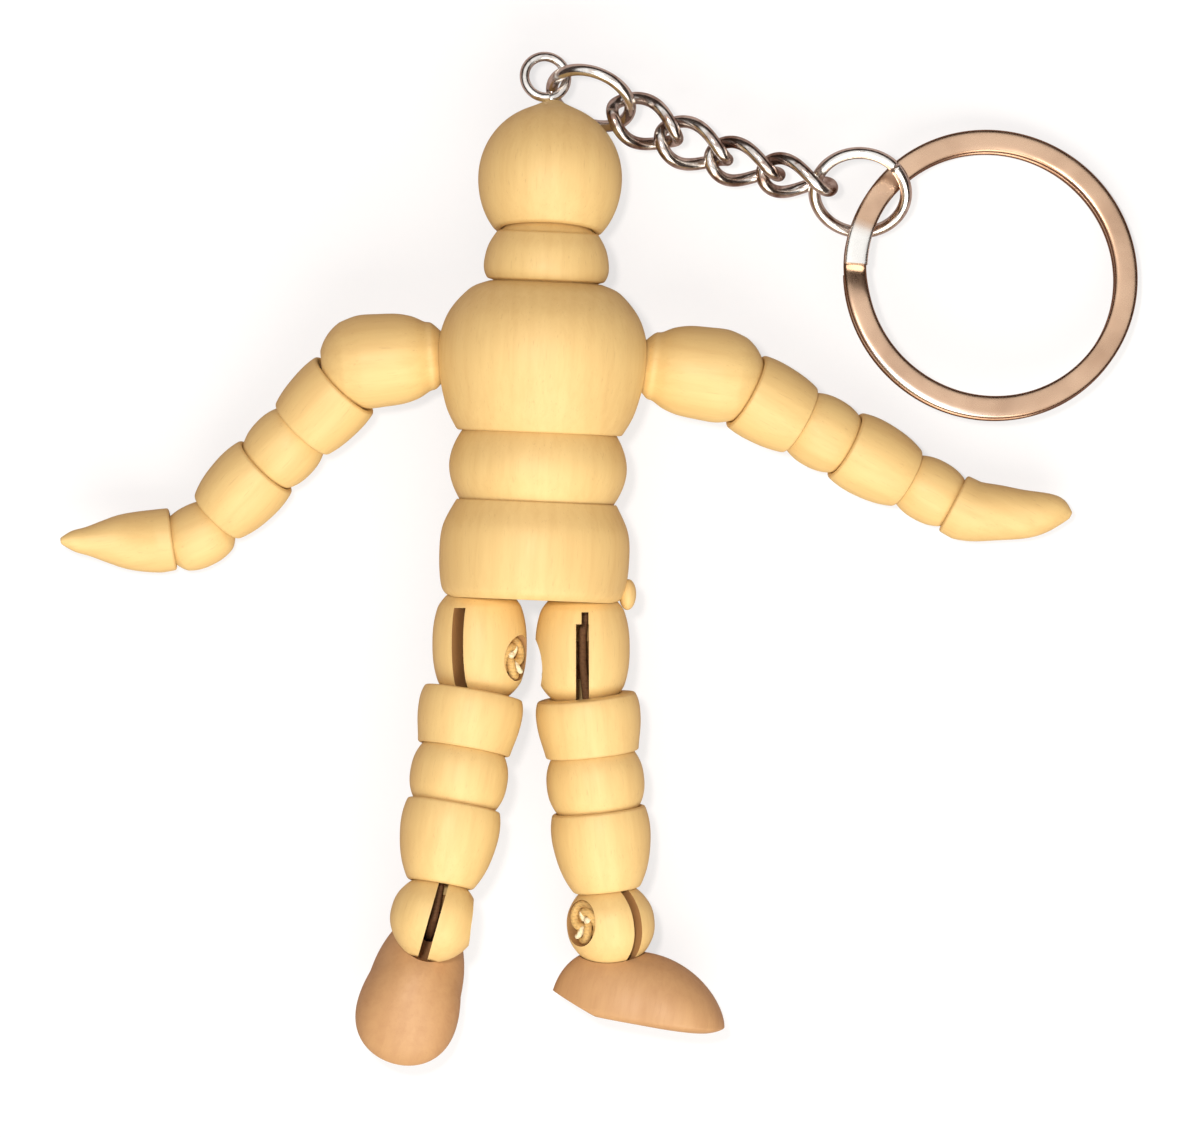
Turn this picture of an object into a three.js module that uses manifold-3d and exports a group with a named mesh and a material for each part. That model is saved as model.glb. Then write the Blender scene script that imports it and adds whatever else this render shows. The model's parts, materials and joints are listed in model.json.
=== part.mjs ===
// A jointed wooden figure on a key ring, strung on elastic cord and lying on its back.
// Millimetres. +Z is up, the head points along +Y and +X is on the viewer's right.
import * as THREE from 'three';
import { mergeVertices } from 'three/addons/utils/BufferGeometryUtils.js';
import Module from 'manifold-3d';

const wasm = await Module();
wasm.setup();

// Fits shared by every joint
const JOINT_GAP = 0.3;
const LIP_WALL = 0.22;
const CORD_RADIUS = 0.4;
const CORD_ROOM = 0.5;
const BALL_EDGE = 72;

// Bend of the cord at each bead's mouths, in degrees
const STRAIGHT_BEND = 3;
const SHOULDER_LOW_BEND = 10;
const SHOULDER_HIGH_BEND = 4;
const THIGH_LOW_BEND = 16;
const THIGH_HIGH_BEND = 10;
const ANKLE_HIGH_BEND = 7;

// Facets
const TORSO_SIDES = 18;
const LIMB_SIDES = 14;
const DOME_STEPS = 2;
const BELLY_STEPS = 4;
const WIRE_SIDES = 6;
const CORD_SIDES = 6;

// Torso, measured along the spine from the middle of the chest
const HEAD_RADIUS = 7.2;
const HEAD_HALF_HEIGHT = 7.45;
const HEAD_ABOVE_NECK = 8;
const HEAD_BORE_DEPTH = 4;
const NECK_HEIGHT = 10.5;
const NECK_HALF = 2.5;
const NECK_RIM_TOP = 4.65;
const NECK_RIM_BASE = 5.3;
const NECK_BELLY = 6.15;
const NECK_DOME = 6.2;
const CHEST_RADIUS = 10.5;
const WAIST_DROP = 10.6;
const WAIST_HALF = 3.35;
const WAIST_RIM = 7.8;
const WAIST_BELLY = 8.9;
const WAIST_DOME = 8.9;
const PELVIS_RADIUS = 9.5;
const PELVIS_LENGTH = 9.8;
const PELVIS_BORE_DEPTH = 3;

// Arm, measured between the centres of its balls
const SHOULDER_OUT = 13.75;
const SHOULDER_DROP = 0.25;
const SHOULDER_BACK = 1.5;
const SHOULDER_DOME = 4.82;
const SHOULDER_SPAN = 3.8;
const SHOULDER_RIM = 3.6;
const FLARE_SPREAD = 3;
const UPPER_ARM_LENGTH = 12.3;
const UPPER_ARM_BELLY = 4.2;
const ELBOW_HALF = 2.5;
const ELBOW_RIM = 3.2;
const ELBOW_BELLY = 3.75;
const ELBOW_DOME = 4.1;
const FOREARM_LENGTH = 12.5;
const FOREARM_BELLY = 3.95;
const WRIST_HALF = 2.5;
const WRIST_RIM = 2.7;
const WRIST_BELLY = 3.25;
const WRIST_DOME = 3.7;
const HAND_LENGTH = 13.7;
const HAND_HALF_WIDTH = 3.2;
const HAND_FLATNESS = 0.86;
const HAND_SWEEP = 4.4;
const HAND_TIP = 0.35;
const HAND_LEAF = [[1, 0.42], [0.9, 0.6], [0.56, 0.8]];
const HAND_BORE_DEPTH = 0.9;

// Leg, measured between the centres of its balls
const HIP_OUT = 5.15;
const HIP_BELOW_PELVIS = 3.2;
const PASSAGE_ENTRY = 0.9;
const PASSAGE_RISE = 2.5;
const PASSAGE_BACK = 1.9;
const PASSAGE_SPREAD = 0.55;
const THIGH_DOME = 4.8;
const THIGH_SPAN = 2.8;
const LOWER_THIGH_LENGTH = 12.1;
const LOWER_THIGH_BELLY = 5.2;
const LOWER_THIGH_LIP = 4.9;
const LOWER_THIGH_RIM_DROP = 3.5;
const KNEE_HALF = 2.7;
const KNEE_RIM = 4.2;
const KNEE_BELLY = 4.9;
const KNEE_DOME = 5;
const CALF_LENGTH = 14.35;
const CALF_BELLY = 4.8;
const CALF_RIM_RISE = 3.5;
const ANKLE_DOME = 4.4;
const SLOT_WIDTH = 1.3;
const KNOT_HOLE_RADIUS = 2.3;
const THIGH_SLOT_RISE = 5;
const FOOT_LENGTH = 17.6;
const FOOT_WIDTH = 10.2;
const FOOT_HEIGHT = 7;
const FOOT_HEEL = 4.6;
const FOOT_SEAT_DEPTH = 2.2;
const FOOT_SOLE_ROUND = 0.9;
const FOOT_TAPER = 0.48;
const FOOT_HEEL_LIFT = 20;
const FOOT_HEEL_BLUNT = 0.6;
const FOOT_BORE_DEPTH = 2.5;

// Cord knots
const KNOT_RADIUS = 1;
const KNOT_STRAND = 0.4;

// Metal
const EYE_RADIUS = 2.15;
const EYE_WIRE = 0.48;
const EYE_SHANK = 5;
const RING_WIRE = 0.6;
const FIRST_RING_RADIUS = 4.1;
const LAST_RING_RADIUS = 4.6;
const LINK_COUNT = 4;
const LINK_HALF = 3.6;
const LINK_HALF_WIDTH = 2.25;
const LINK_WIRE = 0.63;
const LINK_SLACK = 0.5;
const EYE_SLACK = 0.15;
const SPLIT_RADIUS = 13.7;
const SPLIT_BAND = 2.3;
const SPLIT_COIL = 0.8;
const SPLIT_GAP = 0.3;
const SPLIT_STEP_TURN = 24;
const SPLIT_SLACK = 1.1;

// The photographed pose, in degrees
const SPINE_LEAN = 2.4;
const HEAD_DROP = 10;
const ARM_DROP = 12;
const LEFT_ARM = { side: -1, shoulder: 187.4, arm: 228.2, hand: 190.4, roll: -72 };
const RIGHT_ARM = { side: 1, shoulder: -6.1, arm: -26, hand: -25.5, roll: 0 };
const THIGH_HEADING = -87.6;
const LEFT_LEG = { side: -1, heading: -97.5, rise: 4, ankle: -103.5, thighSlot: -28, ankleSlot: 0 };
const RIGHT_LEG = { side: 1, heading: -81.45, rise: -5, ankle: -81.45, thighSlot: 0, ankleSlot: 38 };
const LEFT_FOOT = { flex: 72, toe: 0, mouth: 7 };
const RIGHT_FOOT = { flex: 16, toe: 90, mouth: 20 };
const CHAIN_HEADINGS = [-21.6, -24.6, -19.6, -13.6, -11.6, -7];
const CHAIN_DROP = 3;
const EYE_ROLL = 10;
const EYE_LEAN = 18;
const FIRST_RING_ROLL = 52;
const LINK_TWIST = -115;
const LINK_ROLL_FIRST = 15;
const LINK_ROLL_STEP = 15;
const LAST_RING_ROLL = 31;
const SPLIT_HEADING = -30;
const SPLIT_ROLL = -15;
const SPLIT_END = -57;
const SPLIT_LIFT = -0.6;

const CORD_BORE = CORD_RADIUS + CORD_ROOM;
const degrees = THREE.MathUtils.degToRad;
const vec = (x, y, z) => new THREE.Vector3(x, y, z);
const UP = vec(0, 0, 1);

// Finishes
function finish(color, roughness, metalness) {
  return new THREE.MeshStandardMaterial({ color, roughness, metalness });
}
const wood = () => finish(0xecce94, 0.5, 0);
const footWood = () => finish(0xd9a876, 0.5, 0);
const elastic = () => finish(0xd8b878, 0.8, 0);
const nickel = () => finish(0xb9b4ad, 0.25, 1);
const copperTint = () => finish(0xd6aa87, 0.3, 1);

// Turns a closed geometry into a solid whose faces point outward.
function solidOf(geometry) {
  const bare = geometry.index ? geometry.clone() : geometry;
  bare.deleteAttribute('normal');
  bare.deleteAttribute('uv');
  const merged = mergeVertices(bare, 1e-4);
  const corners = merged.index.array;
  const build = (flip) => {
    const kept = [];
    for (let i = 0; i < corners.length; i += 3) {
      const [a, b, c] = corners.slice(i, i + 3);
      if (a !== b && b !== c && c !== a) kept.push(a, flip ? c : b, flip ? b : c);
    }
    const vertProperties = new Float32Array(merged.attributes.position.array);
    return new wasm.Manifold(new wasm.Mesh({ numProp: 3, vertProperties, triVerts: new Uint32Array(kept) }));
  };
  const solid = build(false);
  return solid.volume() > 0 ? solid : build(true);
}

function meshOf(name, solid, material) {
  const { vertProperties, triVerts } = solid.getMesh();
  const geometry = new THREE.BufferGeometry();
  geometry.setAttribute('position', new THREE.BufferAttribute(vertProperties, 3));
  geometry.setIndex(new THREE.BufferAttribute(triVerts, 1));
  geometry.computeVertexNormals();
  const mesh = new THREE.Mesh(geometry, material);
  mesh.name = name;
  return mesh;
}

const lathe = (points, sides) => solidOf(new THREE.LatheGeometry(points, sides));
const closedLathe = (points, sides) => lathe([...points, points[0]], sides);

// A solid cylinder between two points, for drilling.
function drill(from, to, radius, sides = 8) {
  const along = to.clone().sub(from);
  const geometry = new THREE.CylinderGeometry(radius, radius, along.length(), sides);
  const turn = new THREE.Quaternion().setFromUnitVectors(vec(0, 1, 0), along.clone().normalize());
  geometry.applyQuaternion(turn);
  geometry.translate(...from.clone().add(to).multiplyScalar(0.5).toArray());
  return solidOf(geometry);
}

function ballAt(centre, radius, sides = 14) {
  const geometry = new THREE.SphereGeometry(radius, sides, Math.ceil(sides / 2) + 1);
  geometry.translate(...centre.toArray());
  return solidOf(geometry);
}

function boxBetween(low, high) {
  const size = high.clone().sub(low);
  const geometry = new THREE.BoxGeometry(...size.toArray());
  geometry.translate(...low.clone().add(high).multiplyScalar(0.5).toArray());
  return solidOf(geometry);
}

// A round tube along a curve, closed by flat ends.
function tube(curve, radius, steps, sides) {
  const section = new THREE.Shape();
  section.absarc(0, 0, radius, 0, 2 * Math.PI);
  const options = { extrudePath: curve, steps, curveSegments: sides / 2, bevelEnabled: false };
  return solidOf(new THREE.ExtrudeGeometry(section, options));
}

// A tube round a closed curve that is given as a formula of the turn, from 0 to 1.
function ringTube(pointAt, radius, steps, sides) {
  class Loop extends THREE.Curve {
    getPoint(t, target = new THREE.Vector3()) {
      return target.copy(pointAt(t));
    }
  }
  const frames = new Loop().computeFrenetFrames(steps, true);
  const positions = [];
  const index = [];
  for (let i = 0; i < steps; i += 1) {
    for (let j = 0; j < sides; j += 1) {
      const a = (2 * Math.PI * j) / sides;
      const offset = frames.normals[i].clone().multiplyScalar(Math.cos(a) * radius);
      offset.addScaledVector(frames.binormals[i], Math.sin(a) * radius);
      positions.push(...pointAt(i / steps).add(offset).toArray());
      const [here, next] = [i * sides, ((i + 1) % steps) * sides];
      const k = (j + 1) % sides;
      index.push(here + j, next + j, next + k, here + j, next + k, here + k);
    }
  }
  const geometry = new THREE.BufferGeometry();
  geometry.setAttribute('position', new THREE.Float32BufferAttribute(positions, 3));
  geometry.setIndex(index);
  return solidOf(geometry);
}

// Profile points on a circle about the axis, between two angles measured from +Y.
function arc(centre, radius, from, to, steps) {
  return Array.from({ length: steps + 1 }, (_, i) => {
    const angle = from + ((to - from) * i) / steps;
    return new THREE.Vector2(radius * Math.sin(angle), centre + radius * Math.cos(angle));
  });
}

// Profile points between two rims, swelling to a belly half-way.
function swell(from, to, belly, steps) {
  const rise = belly - (from.x + to.x) / 2;
  return Array.from({ length: steps - 1 }, (_, i) => {
    const s = (i + 1) / steps;
    const point = from.clone().lerp(to, s);
    point.x += rise * (1 - Math.abs(2 * s - 1) ** 2.4);
    return point;
  });
}

// One end of a bead that sits in a cup: dome radius, rim radius, dome centre on the axis and cord bend.
function domeEnd(dome, rim, centre, bend) {
  const mouth = dome * Math.sin(degrees(bend)) + CORD_BORE;
  return { dome, rim, centre, mouthAngle: Math.asin(mouth / dome), rimAngle: Math.asin(rim / dome) };
}

// A bead with a dome at both ends and a cord hole that opens out toward the domes.
function domedBead(low, high, belly, sides) {
  const top = arc(high.centre, high.dome, high.mouthAngle, high.rimAngle, DOME_STEPS);
  const base = arc(low.centre, low.dome, Math.PI - low.rimAngle, Math.PI - low.mouthAngle, DOME_STEPS);
  const side = swell(top.at(-1), base[0], belly, BELLY_STEPS);
  const throat = (low.centre + high.centre) / 2;
  return closedLathe([...top, ...side, ...base, new THREE.Vector2(CORD_BORE, throat)], sides);
}

// One end of a bead that cups a ball: cup radius, rim angle and the outer radius of its lip.
function cupEnd(dome, rimAngle, lipRadius) {
  const cup = dome + JOINT_GAP;
  const rim = cup * Math.sin(rimAngle);
  const boreAngle = Math.asin(CORD_BORE / cup);
  return { cup, rimAngle, boreAngle, lip: lipRadius ?? rim + LIP_WALL, depth: cup * Math.cos(rimAngle) };
}

// A bead with a cup at both ends, from the ball centre at y = 0 to the one at y = length.
function cuppedBead(low, high, length, outline, sides) {
  const base = arc(0, low.cup, low.boreAngle, low.rimAngle, DOME_STEPS);
  const top = arc(length, high.cup, Math.PI - high.rimAngle, Math.PI - high.boreAngle, DOME_STEPS);
  const lipLow = new THREE.Vector2(low.lip, low.depth);
  const lipHigh = new THREE.Vector2(high.lip, length - high.depth);
  return closedLathe([...base, lipLow, ...outline(lipLow, lipHigh), lipHigh, ...top], sides);
}

const plainOutline = (belly) => (from, to) => swell(from, to, belly, BELLY_STEPS);
const splineOutline = (points, steps) => (from, to) =>
  new THREE.SplineCurve([from, ...points, to]).getPoints(steps).slice(1, -1);

// Direction in the lying plane, then tipped out of it.
function heading(angle, rise = 0) {
  const flat = Math.cos(degrees(rise));
  return vec(flat * Math.cos(degrees(angle)), flat * Math.sin(degrees(angle)), Math.sin(degrees(rise)));
}

// Stands a group at a point, with its Y along a direction and its Z as near as can be to another.
function stand(group, origin, along, front = UP, roll = 0) {
  const y = along.clone().normalize();
  const x = y.clone().cross(front).normalize();
  const z = x.clone().cross(y);
  group.position.copy(origin);
  group.quaternion.setFromRotationMatrix(new THREE.Matrix4().makeBasis(x, y, z));
  group.rotateY(degrees(roll));
  group.updateMatrix();
  return group;
}

const pointIn = (group, x, y, z) => vec(x, y, z).applyMatrix4(group.matrix);
const reach = (origin, direction, distance) => origin.clone().addScaledVector(direction, distance);

// Dome ends that two pieces share
const domeShift = (half, dome, rim) => half - Math.sqrt(dome ** 2 - rim ** 2);
const neckTopShift = domeShift(NECK_HALF, NECK_DOME, NECK_RIM_TOP);
const neckBaseShift = -domeShift(NECK_HALF, NECK_DOME, NECK_RIM_BASE);
const waistShift = domeShift(WAIST_HALF, WAIST_DOME, WAIST_RIM);
const elbowShift = domeShift(ELBOW_HALF, ELBOW_DOME, ELBOW_RIM);
const wristShift = domeShift(WRIST_HALF, WRIST_DOME, WRIST_RIM);
const kneeShift = domeShift(KNEE_HALF, KNEE_DOME, KNEE_RIM);
const rimAngleOf = (rim, dome) => Math.asin(rim / dome);

// Head and neck
const crown = HEAD_ABOVE_NECK - neckTopShift + HEAD_HALF_HEIGHT;
const eyeWay = vec(-Math.sin(degrees(EYE_LEAN)), Math.cos(degrees(EYE_LEAN)), 0);

function headSolid() {
  const cup = cupEnd(NECK_DOME, rimAngleOf(NECK_RIM_TOP, NECK_DOME));
  const centre = HEAD_ABOVE_NECK - neckTopShift;
  const hole = EYE_WIRE + JOINT_GAP;
  const lipAngle = Math.PI - Math.acos((centre - cup.depth) / HEAD_HALF_HEIGHT);
  const boreTop = cup.cup + HEAD_BORE_DEPTH;
  const skull = arc(0, HEAD_RADIUS, lipAngle, 0, 9);
  const stretch = HEAD_HALF_HEIGHT / HEAD_RADIUS;
  const points = [
    new THREE.Vector2(0, boreTop),
    new THREE.Vector2(CORD_BORE, boreTop),
    ...arc(0, cup.cup, cup.boreAngle, cup.rimAngle, DOME_STEPS),
    ...skull.map((point) => new THREE.Vector2(point.x, centre + point.y * stretch)),
  ];
  const crownPoint = vec(0, crown, 0);
  const screwHole = drill(reach(crownPoint, eyeWay, hole), reach(crownPoint, eyeWay, -EYE_SHANK), hole);
  return lathe(points, TORSO_SIDES).subtract(screwHole);
}

function neckSolid() {
  const low = domeEnd(NECK_DOME, NECK_RIM_BASE, neckBaseShift, STRAIGHT_BEND);
  const high = domeEnd(NECK_DOME, NECK_RIM_TOP, neckTopShift, HEAD_DROP);
  return domedBead(low, high, NECK_BELLY, TORSO_SIDES);
}

// Chest, about its own middle
function chestSolid(shoulders) {
  const low = cupEnd(WAIST_DOME, rimAngleOf(WAIST_RIM, WAIST_DOME));
  const high = cupEnd(NECK_DOME, rimAngleOf(NECK_RIM_BASE, NECK_DOME));
  const base = -WAIST_DROP + waistShift;
  const length = NECK_HEIGHT + neckBaseShift - base;
  const at = (radius, height) => new THREE.Vector2(radius, height - base);
  const outline = [
    at(0.92 * CHEST_RADIUS, -0.43 * CHEST_RADIUS),
    at(CHEST_RADIUS, 0.03 * CHEST_RADIUS),
    at(0.92 * CHEST_RADIUS, 0.38 * CHEST_RADIUS),
    at(high.lip + 0.14 * CHEST_RADIUS, 0.64 * CHEST_RADIUS),
  ];
  const body = cuppedBead(low, high, length, splineOutline(outline, 10), TORSO_SIDES).translate([0, base, 0]);
  const seats = shoulders.map((centre) => ballAt(centre, SHOULDER_DOME + JOINT_GAP));
  return seats.reduce((solid, seat) => solid.subtract(seat), body).subtract(drill(...shoulders, CORD_BORE));
}

function waistSolid() {
  const low = domeEnd(WAIST_DOME, WAIST_RIM, -waistShift, STRAIGHT_BEND);
  const high = domeEnd(WAIST_DOME, WAIST_RIM, waistShift, STRAIGHT_BEND);
  return domedBead(low, high, WAIST_BELLY, TORSO_SIDES);
}

// Pelvis, about the lower ball centre of the waist
function pelvisSolid(hips, passage) {
  const cup = cupEnd(WAIST_DOME, rimAngleOf(WAIST_RIM, WAIST_DOME));
  const floor = -cup.depth - PELVIS_LENGTH;
  const lip = new THREE.Vector2(cup.lip, -cup.depth);
  const outline = [
    new THREE.Vector2(PELVIS_RADIUS - 0.2, -cup.depth - 0.28 * PELVIS_LENGTH),
    new THREE.Vector2(PELVIS_RADIUS, -cup.depth - 0.6 * PELVIS_LENGTH),
    new THREE.Vector2(PELVIS_RADIUS - 0.35, floor + 0.1 * PELVIS_LENGTH),
  ];
  const edge = new THREE.Vector2(PELVIS_RADIUS - 1.2, floor);
  const boreFloor = -cup.cup - PELVIS_BORE_DEPTH;
  const points = [
    new THREE.Vector2(0, boreFloor),
    new THREE.Vector2(CORD_BORE, boreFloor),
    ...arc(0, cup.cup, Math.PI - cup.boreAngle, Math.PI - cup.rimAngle, DOME_STEPS),
    ...new THREE.SplineCurve([lip, ...outline, edge]).getPoints(8),
    new THREE.Vector2(0, floor),
  ];
  const seats = hips.map((centre) => ballAt(centre, THIGH_DOME + JOINT_GAP));
  const body = lathe(points, TORSO_SIDES);
  const way = tube(passage, CORD_BORE, 14, CORD_SIDES);
  return seats.reduce((solid, seat) => solid.subtract(seat), body).subtract(way);
}

// Arm beads
function shoulderSolid(cordWay) {
  const edge = SHOULDER_DOME * Math.sin(degrees(BALL_EDGE));
  const low = domeEnd(SHOULDER_DOME, edge, 0, SHOULDER_LOW_BEND);
  const high = domeEnd(SHOULDER_DOME, edge, SHOULDER_SPAN, SHOULDER_HIGH_BEND);
  const body = domedBead(low, high, SHOULDER_DOME, LIMB_SIDES);
  const outward = vec(0, 1, 0);
  const opening = outward.angleTo(cordWay) / 2 + degrees(FLARE_SPREAD);
  const back = (CORD_BORE - CORD_RADIUS / 2) / Math.tan(opening);
  const depth = SHOULDER_DOME + back + 1;
  const flare = new THREE.ConeGeometry(depth * Math.tan(opening), depth, 10);
  flare.rotateX(Math.PI);
  flare.translate(0, depth / 2 - back, 0);
  const middle = outward.clone().add(cordWay).normalize();
  flare.applyQuaternion(new THREE.Quaternion().setFromUnitVectors(outward, middle));
  flare.translate(0, SHOULDER_SPAN, 0);
  return body.subtract(solidOf(flare));
}

function upperArmSolid() {
  const low = cupEnd(SHOULDER_DOME, rimAngleOf(SHOULDER_RIM, SHOULDER_DOME));
  const high = cupEnd(ELBOW_DOME, rimAngleOf(ELBOW_RIM, ELBOW_DOME));
  const length = UPPER_ARM_LENGTH - elbowShift;
  return cuppedBead(low, high, length, plainOutline(UPPER_ARM_BELLY), LIMB_SIDES);
}

function elbowSolid() {
  const low = domeEnd(ELBOW_DOME, ELBOW_RIM, -elbowShift, STRAIGHT_BEND);
  const high = domeEnd(ELBOW_DOME, ELBOW_RIM, elbowShift, STRAIGHT_BEND);
  return domedBead(low, high, ELBOW_BELLY, LIMB_SIDES);
}

function forearmSolid() {
  const low = cupEnd(ELBOW_DOME, rimAngleOf(ELBOW_RIM, ELBOW_DOME));
  const high = cupEnd(WRIST_DOME, rimAngleOf(WRIST_RIM, WRIST_DOME));
  const length = FOREARM_LENGTH - elbowShift - wristShift;
  return cuppedBead(low, high, length, plainOutline(FOREARM_BELLY), LIMB_SIDES);
}

function wristSolid(bend) {
  const low = domeEnd(WRIST_DOME, WRIST_RIM, -wristShift, bend / 2);
  const high = domeEnd(WRIST_DOME, WRIST_RIM, wristShift, bend / 2);
  return domedBead(low, high, WRIST_BELLY, LIMB_SIDES);
}

// Hand, from the wrist's ball centre: a flattened leaf whose tip sweeps to one side
function handSolid(side) {
  const cup = cupEnd(WRIST_DOME, rimAngleOf(WRIST_RIM, WRIST_DOME));
  const boreTop = cup.cup + HAND_BORE_DEPTH;
  const lip = new THREE.Vector2(cup.lip, cup.depth);
  const leaf = HAND_LEAF.map(([wide, far]) => new THREE.Vector2(wide * HAND_HALF_WIDTH, far * HAND_LENGTH));
  const tip = new THREE.Vector2(HAND_TIP, HAND_LENGTH);
  const points = [
    new THREE.Vector2(0, boreTop),
    new THREE.Vector2(CORD_BORE, boreTop),
    ...arc(0, cup.cup, cup.boreAngle, cup.rimAngle, DOME_STEPS),
    ...new THREE.SplineCurve([lip, ...leaf, tip]).getPoints(7),
    new THREE.Vector2(0, HAND_LENGTH),
  ];
  const geometry = new THREE.LatheGeometry(points, LIMB_SIDES);
  const place = geometry.attributes.position;
  const palm = cup.cup + JOINT_GAP;
  for (let i = 0; i < place.count; i += 1) {
    const along = Math.max(0, (place.getY(i) - palm) / (HAND_LENGTH - palm));
    place.setX(i, place.getX(i) - side * HAND_SWEEP * along ** 1.2);
    place.setZ(i, place.getZ(i) * (1 - (1 - HAND_FLATNESS) * Math.min(1, 2 * along)));
  }
  return solidOf(geometry);
}

// A slot in a leg ball for the cord to swing in, open to the front and below, and a hole in one side for its knot
function slotted(solid, low, high, dome, back, side) {
  const half = SLOT_WIDTH / 2;
  const far = dome + 1;
  const front = boxBetween(vec(-half, -far, 0), vec(half, high, far));
  const behind = boxBetween(vec(-half, -far, -back), vec(half, low, 0.1));
  const knotRoom = KNOT_RADIUS + KNOT_STRAND + JOINT_GAP;
  const hole = drill(vec(-side * knotRoom, 0, 0), vec(side * far, 0, 0), KNOT_HOLE_RADIUS, LIMB_SIDES);
  return solid.subtract(front).subtract(behind).subtract(hole);
}

function thighSolid(side) {
  const edge = THIGH_DOME * Math.sin(degrees(BALL_EDGE));
  const low = domeEnd(THIGH_DOME, edge, 0, THIGH_LOW_BEND);
  const high = domeEnd(THIGH_DOME, edge, THIGH_SPAN, THIGH_HIGH_BEND);
  const body = domedBead(low, high, THIGH_DOME, LIMB_SIDES);
  return slotted(body, 0, THIGH_SLOT_RISE, THIGH_DOME, CORD_BORE, side);
}

function lowerThighSolid() {
  const cup = THIGH_DOME + JOINT_GAP;
  const high = cupEnd(THIGH_DOME, Math.acos(LOWER_THIGH_RIM_DROP / cup), LOWER_THIGH_LIP);
  const low = cupEnd(KNEE_DOME, rimAngleOf(KNEE_RIM, KNEE_DOME));
  const length = LOWER_THIGH_LENGTH - kneeShift;
  return cuppedBead(low, high, length, plainOutline(LOWER_THIGH_BELLY), LIMB_SIDES);
}

function kneeSolid() {
  const low = domeEnd(KNEE_DOME, KNEE_RIM, -kneeShift, STRAIGHT_BEND);
  const high = domeEnd(KNEE_DOME, KNEE_RIM, kneeShift, STRAIGHT_BEND);
  return domedBead(low, high, KNEE_BELLY, LIMB_SIDES);
}

function calfSolid() {
  const cup = ANKLE_DOME + JOINT_GAP;
  const low = cupEnd(ANKLE_DOME, Math.acos(CALF_RIM_RISE / cup));
  const high = cupEnd(KNEE_DOME, rimAngleOf(KNEE_RIM, KNEE_DOME));
  return cuppedBead(low, high, CALF_LENGTH - kneeShift, plainOutline(CALF_BELLY), LIMB_SIDES);
}

function ankleSolid(mouth, side) {
  const edge = ANKLE_DOME * Math.sin(degrees(BALL_EDGE));
  const low = domeEnd(ANKLE_DOME, edge, 0, mouth);
  const high = domeEnd(ANKLE_DOME, edge, 0, ANKLE_HIGH_BEND);
  const body = domedBead(low, high, ANKLE_DOME, LIMB_SIDES);
  return slotted(body, CORD_BORE, ANKLE_DOME + 1, ANKLE_DOME, ANKLE_DOME + 1, side);
}

// Foot, about the ankle's centre: a flat sole that lifts under a narrow heel, and a domed instep
function footSolid() {
  const floor = -(ANKLE_DOME + FOOT_HEIGHT - FOOT_SEAT_DEPTH);
  const geometry = new THREE.SphereGeometry(1, 16, 9);
  const place = geometry.attributes.position;
  for (let i = 0; i < place.count; i += 1) {
    const [across, up, along] = [place.getX(i), place.getY(i), place.getZ(i)];
    const width = (FOOT_WIDTH / 2) * (1 + FOOT_TAPER * along) * (1 - FOOT_TAPER / 6);
    const height = up > 0 ? FOOT_HEIGHT - FOOT_SOLE_ROUND : 2 * FOOT_SOLE_ROUND;
    const reach = along < 0 ? -(Math.abs(along) ** FOOT_HEEL_BLUNT) : along;
    place.setXYZ(
      i,
      across * width,
      floor + FOOT_SOLE_ROUND + up * height,
      (reach * FOOT_LENGTH) / 2 + FOOT_LENGTH / 2 - FOOT_HEEL,
    );
  }
  const lift = degrees(FOOT_HEEL_LIFT);
  const heelFace = [0, Math.cos(lift), Math.sin(lift)];
  const body = solidOf(geometry).trimByPlane([0, 1, 0], floor).trimByPlane(heelFace, floor * Math.cos(lift));
  const seat = ballAt(vec(0, 0, 0), ANKLE_DOME + JOINT_GAP);
  const seatFloor = -(ANKLE_DOME + JOINT_GAP);
  const bore = drill(vec(0, seatFloor + 1, 0), vec(0, seatFloor - FOOT_BORE_DEPTH, 0), CORD_BORE);
  return body.subtract(seat).subtract(bore);
}

// Metal pieces, each with its long way along Y from its near end to its far end
function eyeSolid() {
  const loop = solidOf(new THREE.TorusGeometry(EYE_RADIUS, EYE_WIRE, WIRE_SIDES, 18));
  const shank = drill(vec(0, -EYE_RADIUS, 0), vec(0, -EYE_RADIUS - EYE_SHANK, 0), EYE_WIRE);
  return loop.add(shank);
}

const jumpRingSolid = (radius) => solidOf(new THREE.TorusGeometry(radius, RING_WIRE, WIRE_SIDES, 24));

// A curb link: an oval of wire twisted about its length, so that its two ends stand square to each other
function linkSolid() {
  const pointAt = (t) => {
    const y = LINK_HALF * Math.cos(2 * Math.PI * t);
    const w = LINK_HALF_WIDTH * Math.sin(2 * Math.PI * t);
    const twist = (degrees(LINK_TWIST) * y) / (2 * LINK_HALF);
    return vec(w * Math.cos(twist), y, w * Math.sin(twist));
  };
  return ringTube(pointAt, LINK_WIRE, 22, WIRE_SIDES);
}

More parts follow.
